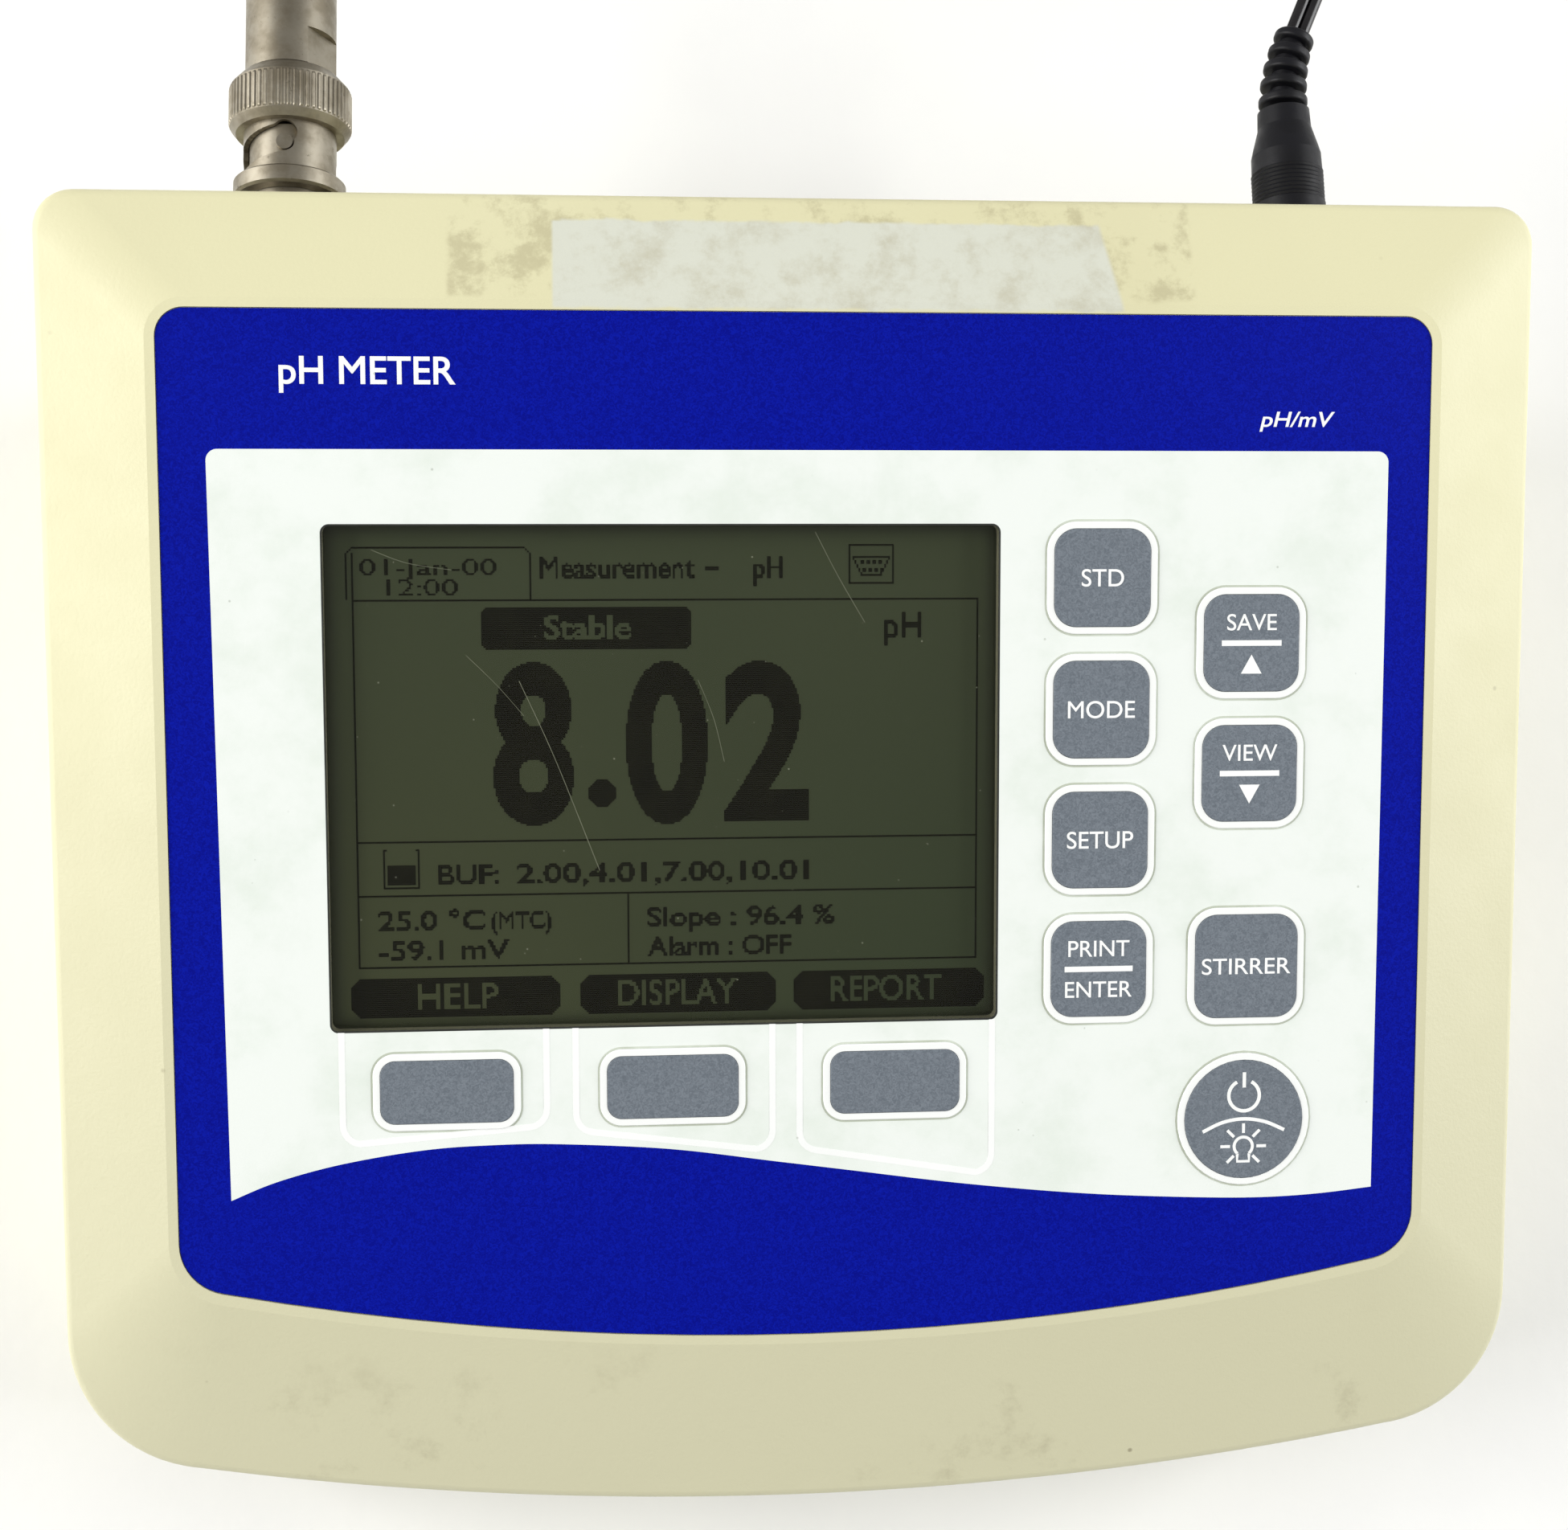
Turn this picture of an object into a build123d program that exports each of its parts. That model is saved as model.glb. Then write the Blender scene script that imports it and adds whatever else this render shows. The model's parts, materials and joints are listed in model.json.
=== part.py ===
from build123d import *
import math
import os

os.makedirs("parts", exist_ok=True)

# ---------------------------------------------------------------- driving dimensions, mm and degrees
SLOPE = 14.0
CASE_WIDTH = 175.0
CASE_HEIGHT = 69.0
WALL = 2.5
FOOT_STAND = 2.0
PARTING_Z = 16.0

# the sloping face, measured in its own axes: u to the right, v up the slope, n out of the face
RIM_REAR_V = 68.3
RIM_FRONT_V = -87.4
RIM_BOW = 9.0
RIM_REAR_RADIUS = 4.5
RIM_FRONT_RADIUS = 17.0
BEZEL_DROP = 5.0
EDGE_ROUND = 1.3
OVERLAY_HALF_WIDTH = 73.3
OVERLAY_REAR_V = 54.4
OVERLAY_FRONT_V = -65.4
OVERLAY_BOW = 8.1
OVERLAY_REAR_RADIUS = 3.2
OVERLAY_FRONT_RADIUS = 6.0
OVERLAY_THICK = 0.35
RECESS_DEPTH = 0.5
FACE_LIP = 1.2
FIT = 0.1

WINDOW_U = -16.7
WINDOW_V = 1.2
WINDOW_WIDTH = 77.6
WINDOW_HEIGHT = 58.1

KEY_SIZE = 11.4
KEY_RADIUS = 2.6
STIRRER_KEY_SIZE = 12.4
POWER_KEY_RADIUS = 7.2
SOFT_KEY_WIDTH = 15.3
SOFT_KEY_HEIGHT = 7.4
SOFT_KEY_RADIUS = 1.7
KEY_BORDER = 0.85
BORDER_RISE = 0.25
KEY_RISE = 0.2
KEY_GAP = 0.05
KEY_TRAVEL = 0.4
KEY_CAP_THICK = 1.2
KEY_COLUMN_U = 34.3
SIDE_COLUMN_U = 52.2
KEY_PITCH = 15.4
TOP_KEY_V = 24.1
SOFT_KEY_U = -42.4
SOFT_KEY_PITCH = 26.2
SOFT_KEY_V = -35.1
POWER_KEY_V = -40.7

BOARD_THICK = 1.6
KEY_BOARD_N = -4.5
DOME_RADIUS = 3.2
DOME_HEIGHT = 0.5
LCD_BOARD_N = -9.6
MAIN_BOARD_Z = 12.0

BNC_X = -61.0
DC_X = 63.4
SOCKET_Z = 49.5
LOW_SOCKET_Z = 36.0
PLUG_REACH = 38.0

CORD_WIDTH = 3.0
RELIEF_BEND = 24.0

# ---------------------------------------------------------------- worked out from those
SIN = math.sin(math.radians(SLOPE))
COS = math.cos(math.radians(SLOPE))
CASE_BOTTOM = FOOT_STAND
FLOOR_TOP = CASE_BOTTOM + WALL
CROWN_REAR_V = OVERLAY_REAR_V + FACE_LIP
REAR_FROM_FACE = RIM_REAR_V * COS + BEZEL_DROP * SIN
FRONT_FROM_FACE = -RIM_FRONT_V * COS - BEZEL_DROP * SIN
CASE_DEPTH = REAR_FROM_FACE + FRONT_FROM_FACE
CASE_REAR_Y = (CASE_DEPTH - PLUG_REACH) / 2
CASE_FRONT_Y = CASE_REAR_Y - CASE_DEPTH
FACE_Y = CASE_REAR_Y - REAR_FROM_FACE
FACE_Z = CASE_HEIGHT - CROWN_REAR_V * SIN
FACE = Plane(origin=(0, FACE_Y, FACE_Z), x_dir=(1, 0, 0), z_dir=(0, -SIN, COS))
TALL = 200.0

# name: (u, v, width, height, corner radius), the power key's corner radius makes it round
KEYS = {
    "key_standardise": (KEY_COLUMN_U, TOP_KEY_V, KEY_SIZE, KEY_SIZE, KEY_RADIUS),
    "key_mode": (KEY_COLUMN_U, TOP_KEY_V - KEY_PITCH, KEY_SIZE, KEY_SIZE, KEY_RADIUS),
    "key_setup": (KEY_COLUMN_U, TOP_KEY_V - 2 * KEY_PITCH, KEY_SIZE, KEY_SIZE, KEY_RADIUS),
    "key_print": (KEY_COLUMN_U, TOP_KEY_V - 3 * KEY_PITCH, KEY_SIZE, KEY_SIZE, KEY_RADIUS),
    "key_save": (SIDE_COLUMN_U, TOP_KEY_V - KEY_PITCH / 2, KEY_SIZE, KEY_SIZE, KEY_RADIUS),
    "key_view": (SIDE_COLUMN_U, TOP_KEY_V - 1.5 * KEY_PITCH, KEY_SIZE, KEY_SIZE, KEY_RADIUS),
    "key_stirrer": (
        SIDE_COLUMN_U, TOP_KEY_V - 3 * KEY_PITCH, STIRRER_KEY_SIZE, STIRRER_KEY_SIZE, KEY_RADIUS
    ),
    "key_power": (
        SIDE_COLUMN_U, POWER_KEY_V, 2 * POWER_KEY_RADIUS, 2 * POWER_KEY_RADIUS, POWER_KEY_RADIUS
    ),
}
for index, side in enumerate(("left", "middle", "right")):
    KEYS[f"soft_key_{side}"] = (
        SOFT_KEY_U + index * SOFT_KEY_PITCH, SOFT_KEY_V, SOFT_KEY_WIDTH, SOFT_KEY_HEIGHT, SOFT_KEY_RADIUS
    )


# ---------------------------------------------------------------- helpers
def save(shape, name):
    export_step(shape, f"parts/{name}.step")


def pad(width, height, radius, low, high):
    """A rounded block in the face's axes, from n = low to n = high, or a disc if the radius fills it."""
    if radius * 2 >= width:
        return Pos(0, 0, low) * extrude(Circle(width / 2), high - low)
    return Pos(0, 0, low) * extrude(RectangleRounded(width, height, radius), high - low)


def face_block(u_low, u_high, v_low, v_high, n_low, n_high):
    """A plain block given by its limits in the face's axes, placed on the face."""
    block = Box(u_high - u_low, v_high - v_low, n_high - n_low)
    return FACE * Pos((u_low + u_high) / 2, (v_low + v_high) / 2, (n_low + n_high) / 2) * block


def block(x_low, x_high, y_low, y_high, z_low, z_high):
    """A plain block given by its limits in the object's axes."""
    shape = Box(x_high - x_low, y_high - y_low, z_high - z_low)
    return Pos((x_low + x_high) / 2, (y_low + y_high) / 2, (z_low + z_high) / 2) * shape


def post(x, y, z_low, z_high, radius):
    """An upright cylinder."""
    return Pos(x, y, (z_low + z_high) / 2) * Cylinder(radius, z_high - z_low)


def face_post(u, v, n_low, n_high, radius):
    """A cylinder square to the face."""
    return FACE * Pos(u, v, (n_low + n_high) / 2) * Cylinder(radius, n_high - n_low)


def turned(points, x, z):
    """A turned piece on an axis square to the rear panel; points are (distance behind it, radius)."""
    outline = Polyline([(radius, distance) for distance, radius in points], close=True)
    return Pos(x, CASE_REAR_Y, z) * revolve(make_face(outline), Axis.Y)


def rod(x, z, start, end, radius):
    """A cylinder along Y; start and end are distances behind the rear panel."""
    return turned([(start, 0), (start, radius), (end, radius), (end, 0)], x, z)


def tube(x, z, start, end, outer, inner):
    """A tube along Y; start and end are distances behind the rear panel."""
    return turned([(start, inner), (start, outer), (end, outer), (end, inner)], x, z)


def hexagon_bar(x, z, start, end, across_flats):
    """A hexagonal bar along Y; start and end are distances behind the rear panel."""
    section = RegularPolygon(across_flats / math.sqrt(3), 6)
    bar = extrude(section, end - start)
    return Pos(x, CASE_REAR_Y + end, z) * Rot(90, 0, 0) * bar


def bowed(half_width, rear, front, bow, rear_radius, front_radius):
    """An outline in the face's axes: straight back and sides, a bowed front edge, round corners."""
    corner = front + bow
    outline = make_face([
        Line((-half_width, rear), (half_width, rear)),
        Line((half_width, rear), (half_width, corner)),
        ThreePointArc((half_width, corner), (0, front), (-half_width, corner)),
        Line((-half_width, corner), (-half_width, rear)),
    ])
    outline = fillet(outline.vertices().group_by(Axis.Y)[-1], rear_radius)
    return fillet(outline.vertices().group_by(Axis.Y)[0], front_radius)


def overlay_outline(grow):
    return bowed(
        OVERLAY_HALF_WIDTH + grow, OVERLAY_REAR_V + grow, OVERLAY_FRONT_V - grow,
        OVERLAY_BOW, OVERLAY_REAR_RADIUS + grow, OVERLAY_FRONT_RADIUS + grow,
    )


def wedge(inset):
    """The whole case's outer form, drawn in by inset on every side."""
    rim = bowed(
        CASE_WIDTH / 2 - inset, RIM_REAR_V - inset * (1 + SIN) / COS, RIM_FRONT_V + inset * (1 - SIN) / COS,
        RIM_BOW, max(RIM_REAR_RADIUS - inset, 1.0), RIM_FRONT_RADIUS - inset,
    )
    rim = FACE * Pos(0, 0, -BEZEL_DROP - inset) * rim
    crown = FACE * Pos(0, 0, -inset) * overlay_outline(FACE_LIP - inset / 2)
    body = extrude(rim, TALL, dir=(0, 0, -1)) + loft([rim, crown], ruled=True)
    if inset == 0:
        body = soften(body)
    return body - Pos(0, 0, CASE_BOTTOM + inset - TALL) * Box(2 * TALL, 2 * TALL, 2 * TALL)


def soften(body):
    """Round the outer edge where the sloping bezel turns down into the walls."""
    rim_plane = FACE.offset(-BEZEL_DROP)

    def on_rim(point):
        return abs(rim_plane.to_local_coords(point).Z) < 0.01

    edges = [edge for edge in body.edges() if on_rim(edge.center())]
    edges = [edge for edge in edges if all(on_rim(vertex.center()) for vertex in edge.vertices())]
    return fillet(edges, EDGE_ROUND)


# ---------------------------------------------------------------- the two halves of the case
CASE_SCREWS = [(side * 76.0, y) for side in (-1, 1) for y in (CASE_REAR_Y - 13, CASE_FRONT_Y + 28)]
BOARD_POSTS = [(side * 62.0, y) for side in (-1, 1) for y in (CASE_REAR_Y - 30, CASE_FRONT_Y + 34)]
FEET = [(side * 60.0, y) for side in (-1, 1) for y in (CASE_REAR_Y - 14, CASE_FRONT_Y + 22)]
LCD_POSTS = [(u, v) for u in (-61.0, 23.2) for v in (37.0, -34.6)]
KEY_BOARD_POSTS = [(62.5, 30.0), (62.5, -51.0), (30.5, -51.0), (-56.5, -42.5)]
BOSS_MEET_Z = 19.0
BOSS_RADIUS = 3.8
FACE_POST_RADIUS = 2.4
THREAD_RADIUS = 0.95
VENT_COUNT = 9
VENT_PITCH = 5.0
VENT_WIDTH = 2.0
FOOT_RADIUS = 6.0
FOOT_SEAT = 1.0
SCREW_HEAD_Z = 7.0
PANEL_HALF = 78.0
PANEL_TOP = 62.6
PANEL_FLANGE = 1.5
LIP_THICK = 1.2
LIP_RISE = 2.0
LABEL_RECESS = 0.3
BOARD_SCREW_LENGTH = 4.6


def case_shell():
    return wedge(0) - wedge(WALL)


def make_upper_case(shell):
    upper = shell - Pos(0, 0, PARTING_Z - TALL) * Box(2 * TALL, 2 * TALL, 2 * TALL)
    inside = wedge(WALL - 0.5)
    for x, y in CASE_SCREWS:
        upper += post(x, y, BOSS_MEET_Z, CASE_HEIGHT, BOSS_RADIUS) & inside
    for u, v in LCD_POSTS:
        upper += face_post(u, v, LCD_BOARD_N, 0, FACE_POST_RADIUS) & inside
    for u, v in KEY_BOARD_POSTS:
        upper += face_post(u, v, KEY_BOARD_N, 0, FACE_POST_RADIUS) & inside
    upper -= FACE * Pos(0, 0, -RECESS_DEPTH) * extrude(overlay_outline(FIT), 10)
    window = pad(WINDOW_WIDTH + 2 * FIT, WINDOW_HEIGHT + 2 * FIT, 0.9, -10, 1)
    upper -= FACE * Pos(WINDOW_U, WINDOW_V, 0) * window
    for u, v, width, height, radius in KEYS.values():
        clear = 2 * (KEY_GAP + 0.05)
        upper -= FACE * Pos(u, v, 0) * pad(width + clear, height + clear, radius, -6, 1)
    upper -= block(
        -PANEL_HALF - FIT, PANEL_HALF + FIT, CASE_REAR_Y - WALL - 1, CASE_REAR_Y + 1, 0, PANEL_TOP + FIT
    )
    for x, y in CASE_SCREWS:
        upper -= post(x, y, 0, BOSS_MEET_Z + 8, 1.25)
    for u, v in LCD_POSTS:
        upper -= face_post(u, v, LCD_BOARD_N - 1, LCD_BOARD_N + 5, THREAD_RADIUS)
    for u, v in KEY_BOARD_POSTS:
        upper -= face_post(u, v, KEY_BOARD_N - 1, -1.2, THREAD_RADIUS)
    return upper


def make_lower_case(shell):
    lower = shell & (Pos(0, 0, PARTING_Z - TALL) * Box(2 * TALL, 2 * TALL, 2 * TALL))
    root = wedge(WALL - 0.5) - wedge(WALL + LIP_THICK)
    lower += root & block(-TALL, TALL, -TALL, TALL, PARTING_Z - 3, PARTING_Z)
    lip = wedge(WALL + FIT) - wedge(WALL + LIP_THICK)
    lower += lip & block(-TALL, TALL, -TALL, CASE_REAR_Y - WALL - 6, PARTING_Z - 1, PARTING_Z + LIP_RISE)
    for x, y in CASE_SCREWS:
        lower += post(x, y, FLOOR_TOP, BOSS_MEET_Z, BOSS_RADIUS)
    for x, y in BOARD_POSTS:
        lower += post(x, y, FLOOR_TOP, MAIN_BOARD_Z, 3.0)
    for x, y in CASE_SCREWS:
        lower -= post(x, y, 0, SCREW_HEAD_Z, 3.1)
        lower -= post(x, y, 0, BOSS_MEET_Z + 1, 1.6)
    for x, y in BOARD_POSTS:
        lower -= post(x, y, FLOOR_TOP + 1, MAIN_BOARD_Z + 1, THREAD_RADIUS)
    for x, y in FEET:
        lower -= post(x, y, 0, CASE_BOTTOM + FOOT_SEAT, FOOT_RADIUS + FIT)
    for index in range(VENT_COUNT):
        y = index * VENT_PITCH - 40
        lower -= block(-16, 16, y, y + VENT_WIDTH, 0, FLOOR_TOP + 1)
    lower -= block(-32, 32, CASE_REAR_Y - 50, CASE_REAR_Y - 18, 0, CASE_BOTTOM + LABEL_RECESS)
    return lower


SHELL = case_shell()
save(make_upper_case(SHELL), "upper_case")
save(make_lower_case(SHELL), "lower_case")


def make_feet():
    height = CASE_BOTTOM + FOOT_SEAT
    foot = Cylinder(FOOT_RADIUS, height)
    foot = chamfer(foot.faces().sort_by(Axis.Z)[0].edges(), 0.8)
    return Compound([Pos(x, y, height / 2) * foot for x, y in FEET])


def make_case_screw(x, y):
    head = post(x, y, SCREW_HEAD_Z - 2.2, SCREW_HEAD_Z, 2.8)
    recess = block(x - 1.6, x + 1.6, y - 0.35, y + 0.35, 0, SCREW_HEAD_Z - 1.2)
    recess += block(x - 0.35, x + 0.35, y - 1.6, y + 1.6, 0, SCREW_HEAD_Z - 1.2)
    return head - recess + post(x, y, SCREW_HEAD_Z, BOSS_MEET_Z + 7, 1.2)


def make_board_screw():
    """A small cross-head screw, its head's underside at the origin and its shank pointing down."""
    head = Pos(0, 0, 0.7) * Cylinder(2.0, 1.4)
    recess = Pos(0, 0, 1.3) * (Box(2.4, 0.6, 1.4) + Box(0.6, 2.4, 1.4))
    return head - recess + Pos(0, 0, -BOARD_SCREW_LENGTH / 2) * Cylinder(0.9, BOARD_SCREW_LENGTH)


def place_board_screws():
    """One screw down through the main board into each post, the others up into the posts under the face."""
    screw = make_board_screw()
    upward = Rot(180, 0, 0) * screw
    screws = [Pos(x, y, MAIN_BOARD_Z + BOARD_THICK) * screw for x, y in BOARD_POSTS]
    screws += [FACE * Pos(u, v, LCD_BOARD_N - BOARD_THICK) * upward for u, v in LCD_POSTS]
    screws += [FACE * Pos(u, v, KEY_BOARD_N - BOARD_THICK) * upward for u, v in KEY_BOARD_POSTS]
    return Compound(screws)


save(make_feet(), "rubber_feet")
save(Compound([make_case_screw(x, y) for x, y in CASE_SCREWS]), "case_screws")
save(place_board_screws(), "board_screws")
board_top = MAIN_BOARD_Z + BOARD_THICK
lcd_board_low = LCD_BOARD_N - BOARD_THICK
key_board_low = KEY_BOARD_N - BOARD_THICK
rating_label = block(
    -31.8, 31.8, CASE_REAR_Y - 49.8, CASE_REAR_Y - 18.2, CASE_BOTTOM + 0.1, CASE_BOTTOM + LABEL_RECESS
)
save(rating_label, "rating_label")


# ---------------------------------------------------------------- the face: overlay, window and keys
def make_overlay():
    sheet = Pos(0, 0, -RECESS_DEPTH) * extrude(overlay_outline(0), OVERLAY_THICK)
    top = -RECESS_DEPTH + OVERLAY_THICK
    for u, v, width, height, radius in KEYS.values():
        grow = 2 * KEY_BORDER
        ring = pad(width + grow, height + grow, radius + KEY_BORDER, top - 0.1, top + BORDER_RISE)
        ring = fillet(ring.faces().sort_by(Axis.Z)[-1].edges(), 0.12)
        sheet += Pos(u, v, 0) * ring
    for u, v, width, height, radius in KEYS.values():
        clear = 2 * KEY_GAP
        sheet -= Pos(u, v, 0) * pad(width + clear, height + clear, radius + KEY_GAP, -2, 2)
    sheet -= Pos(WINDOW_U, WINDOW_V, 0) * pad(WINDOW_WIDTH, WINDOW_HEIGHT, 0.8, -2, 2)
    return FACE * sheet


def make_key(width, height, radius):
    """A key's embossed cap with the plunger under it that reaches down to its snap dome."""
    cap = pad(width, height, radius, KEY_RISE - KEY_CAP_THICK, KEY_RISE)
    cap = fillet(cap.faces().sort_by(Axis.Z)[-1].edges(), 0.1)
    plunger_low = KEY_BOARD_N + DOME_HEIGHT + KEY_TRAVEL + 0.05
    return cap + pad(5.6, 5.6, 2.8, plunger_low, KEY_RISE - KEY_CAP_THICK)


def make_domes():
    dome = Cone(DOME_RADIUS, DOME_RADIUS / 2, DOME_HEIGHT)
    return Compound([FACE * Pos(u, v, KEY_BOARD_N + DOME_HEIGHT / 2) * dome for u, v, *_ in KEYS.values()])


def make_key_board():
    board = face_block(27.2, 65.5, -54, 33.5, key_board_low, KEY_BOARD_N)
    board += face_block(-59.5, 27.2, -45.5, -30.9, key_board_low, KEY_BOARD_N)
    board -= face_post(LCD_POSTS[3][0], LCD_POSTS[3][1], -20, 0, 3.0)
    board -= face_post(LCD_POSTS[1][0], LCD_POSTS[1][1], -20, 0, 3.0)
    for u, v in KEY_BOARD_POSTS:
        board -= face_post(u, v, -20, 0, 1.1)
    return board


save(make_overlay(), "graphic_overlay")
for name, (u, v, width, height, radius) in KEYS.items():
    save(FACE * Pos(u, v, 0) * make_key(width, height, radius), name)
save(make_domes(), "snap_domes")
save(make_key_board(), "key_board")

PANE_TOP = -RECESS_DEPTH + OVERLAY_THICK - 0.02
PANE_FLANGE_TOP = -WALL - 0.05
PANE_LOW = PANE_FLANGE_TOP - 0.7
pane = pad(WINDOW_WIDTH - 0.05, WINDOW_HEIGHT - 0.05, 0.8, PANE_LOW, PANE_TOP)
pane += pad(WINDOW_WIDTH + 3, WINDOW_HEIGHT + 3, 0.8, PANE_LOW, PANE_FLANGE_TOP)
save(FACE * Pos(WINDOW_U, WINDOW_V, 0) * pane, "display_window")

# the display module: glass, its metal frame, the light guide and the driver board
GLASS_TOP = PANE_LOW - 0.1
GLASS_THICK = 2.2
GUIDE_THICK = 2.6
CHIP_THICK = 1.4
glass = pad(79.6, 60.1, 0.5, GLASS_TOP - GLASS_THICK, GLASS_TOP)
save(FACE * Pos(WINDOW_U, WINDOW_V, 0) * glass, "lcd_glass")
GUIDE_TOP = GLASS_TOP - GLASS_THICK - 0.1
guide = pad(79.6, 60.1, 0.5, GUIDE_TOP - GUIDE_THICK, GUIDE_TOP)
save(FACE * Pos(WINDOW_U, WINDOW_V, 0) * guide, "lcd_light_guide")
frame = pad(82.0, 62.4, 1.0, LCD_BOARD_N, GLASS_TOP) - pad(80.0, 60.5, 0.6, -30, 30)
save(FACE * Pos(WINDOW_U, WINDOW_V, 0) * frame, "lcd_frame")
lcd_board = face_block(-64.4, 26.6, -38.0, 40.4, lcd_board_low, LCD_BOARD_N)
for u, v in LCD_POSTS:
    lcd_board -= face_post(u, v, -20, 0, 1.1)
save(lcd_board, "lcd_driver_board")
chips = [
    face_block(-45, -33, 8, 20, lcd_board_low - CHIP_THICK, lcd_board_low),
    face_block(-20, -8, 8, 20, lcd_board_low - CHIP_THICK, lcd_board_low),
    face_block(4, 14, -20, -10, lcd_board_low - CHIP_THICK, lcd_board_low),
    block(-8, 6, -22, -8, board_top, board_top + CHIP_THICK),
    block(16, 26, -20, -10, board_top, board_top + CHIP_THICK),
]
save(Compound(chips), "circuit_chips")


# ---------------------------------------------------------------- the rear panel and its sockets
PANEL_BACK = -WALL - PANEL_FLANGE
SOCKET_BOARD_Y = -14.0
BNC_FLANGE_RADIUS = 8.4
REFERENCE_X = -38.0
TEMPERATURE_X = -20.0
SERIAL_X = 11.0
STIRRER_X = 42.0
SERIAL_WIDTH = 30.8
SERIAL_HEIGHT = 12.5
SERIAL_SCREW_SPAN = 25.0
REFERENCE_BORE = 1.05
AUDIO_BORE = 1.8
DC_JACK_BORE = 2.85
DC_PIN_RADIUS = 1.0


def serial_shape(width, height, radius, start, end):
    """The D-shaped outline of the serial port, wider at the top, as a block along Y."""
    slant = height * math.tan(math.radians(10))
    outline = make_face(Polyline(
        [(-width / 2, height / 2), (width / 2, height / 2), (width / 2 - slant, -height / 2),
         (-width / 2 + slant, -height / 2)], close=True
    ))
    outline = fillet(outline.vertices(), radius)
    return Pos(SERIAL_X, CASE_REAR_Y + end, LOW_SOCKET_Z) * Rot(90, 0, 0) * extrude(outline, end - start)


def make_rear_panel():
    panel = block(-PANEL_HALF, PANEL_HALF, CASE_REAR_Y - WALL, CASE_REAR_Y, PARTING_Z + 0.05, PANEL_TOP)
    panel += block(
        -PANEL_HALF - 2, PANEL_HALF + 2, CASE_REAR_Y + PANEL_BACK, CASE_REAR_Y - WALL - 0.05,
        PARTING_Z + 0.05, PANEL_TOP + 0.6,
    )
    step_y = CASE_REAR_Y - WALL
    panel += block(-PANEL_HALF, PANEL_HALF, step_y - 0.05, step_y, PARTING_Z + 0.05, PANEL_TOP)
    holes = rod(BNC_X, SOCKET_Z, -9, 1, 4.8) + rod(DC_X, SOCKET_Z, -9, 1, 4.9)
    holes += rod(REFERENCE_X, LOW_SOCKET_Z, -9, 1, 2.6) + rod(TEMPERATURE_X, LOW_SOCKET_Z, -9, 1, 3.1)
    holes += rod(STIRRER_X, LOW_SOCKET_Z, -9, 1, 3.1) + serial_shape(19.4, 10.6, 2.6, -9, 1)
    for side in (-1, 1):
        holes += rod(SERIAL_X + side * SERIAL_SCREW_SPAN / 2, LOW_SOCKET_Z, -9, 1, 1.6)
    return panel - holes


save(make_rear_panel(), "rear_panel")
socket_board_front = CASE_REAR_Y + SOCKET_BOARD_Y - BOARD_THICK
save(block(-44, 70, socket_board_front, CASE_REAR_Y + SOCKET_BOARD_Y, 26, 60), "socket_board")


# the electrode socket: an isolated bayonet jack
BNC_BARREL = 4.83
BNC_BORE = 4.05
BNC_MOUTH = 13.9
LUG_AT = 11.2
LUG_RADIUS = 0.98
LUG_REACH = 5.5


def lug(angle):
    """One bayonet stud, square to the jack's barrel; the angle is from straight up."""
    stud = Pos(0, 0, LUG_REACH / 2 + 2.2) * Cylinder(LUG_RADIUS, LUG_REACH - 4.4)
    return Pos(BNC_X, CASE_REAR_Y + LUG_AT, SOCKET_Z) * Rot(0, angle, 0) * stud


def make_bnc_jack():
    body = turned([
        (-9, 2.45), (-9, 4.7), (2.0, 4.7), (2.0, 7.6), (3.8, 7.6), (3.8, 6.2), (4.4, 6.2), (4.4, BNC_BARREL),
        (BNC_MOUTH - 0.3, BNC_BARREL), (BNC_MOUTH, BNC_BARREL - 0.3), (BNC_MOUTH, BNC_BORE), (5.0, BNC_BORE),
        (5.0, 2.45),
    ], BNC_X, SOCKET_Z)
    return body + lug(0) + lug(180)


save(make_bnc_jack(), "bnc_jack_body")
save(tube(BNC_X, SOCKET_Z, 0.02, 1.98, BNC_FLANGE_RADIUS, 4.75), "bnc_insulating_washer")
save(tube(BNC_X, SOCKET_Z, -9.5, 12.3, 2.42, 1.12), "bnc_jack_insulator")
save(rod(BNC_X, SOCKET_Z, -12, 11.8, 1.1) - rod(BNC_X, SOCKET_Z, 5.5, 12, 0.76), "bnc_jack_contact")
bnc_nut = hexagon_bar(BNC_X, SOCKET_Z, PANEL_BACK - 2.6, PANEL_BACK - 0.02, 13.6)
save(bnc_nut - rod(BNC_X, SOCKET_Z, -20, 5, 4.74), "bnc_jack_nut")

# the pin jack for a reference electrode and the two small round jacks
reference = turned([
    (-14, 0), (-14, 2.4), (0.02, 2.4), (0.02, 3.6), (1.2, 3.4), (1.2, REFERENCE_BORE),
    (-10, REFERENCE_BORE), (-10, 0),
], REFERENCE_X, LOW_SOCKET_Z)
save(reference, "reference_jack")


def make_audio_jack(x):
    """A 3.5 mm jack: square body inside the panel, round nose through it."""
    body = block(x - 4, x + 4, CASE_REAR_Y + SOCKET_BOARD_Y, CASE_REAR_Y + PANEL_BACK - 0.1, 32, 40)
    body += rod(x, LOW_SOCKET_Z, PANEL_BACK - 1, 0.6, 2.95)
    return body - rod(x, LOW_SOCKET_Z, -13, 2, AUDIO_BORE)


def make_ring_nut(x):
    """The knurled ring that holds a small round jack to the panel."""
    return tube(x, LOW_SOCKET_Z, 0.02, 1.0, 4.4, 3.0)


save(make_audio_jack(TEMPERATURE_X), "temperature_jack")
save(make_audio_jack(STIRRER_X), "stirrer_jack")
save(Compound([make_ring_nut(TEMPERATURE_X), make_ring_nut(STIRRER_X)]), "jack_ring_nuts")

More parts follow.
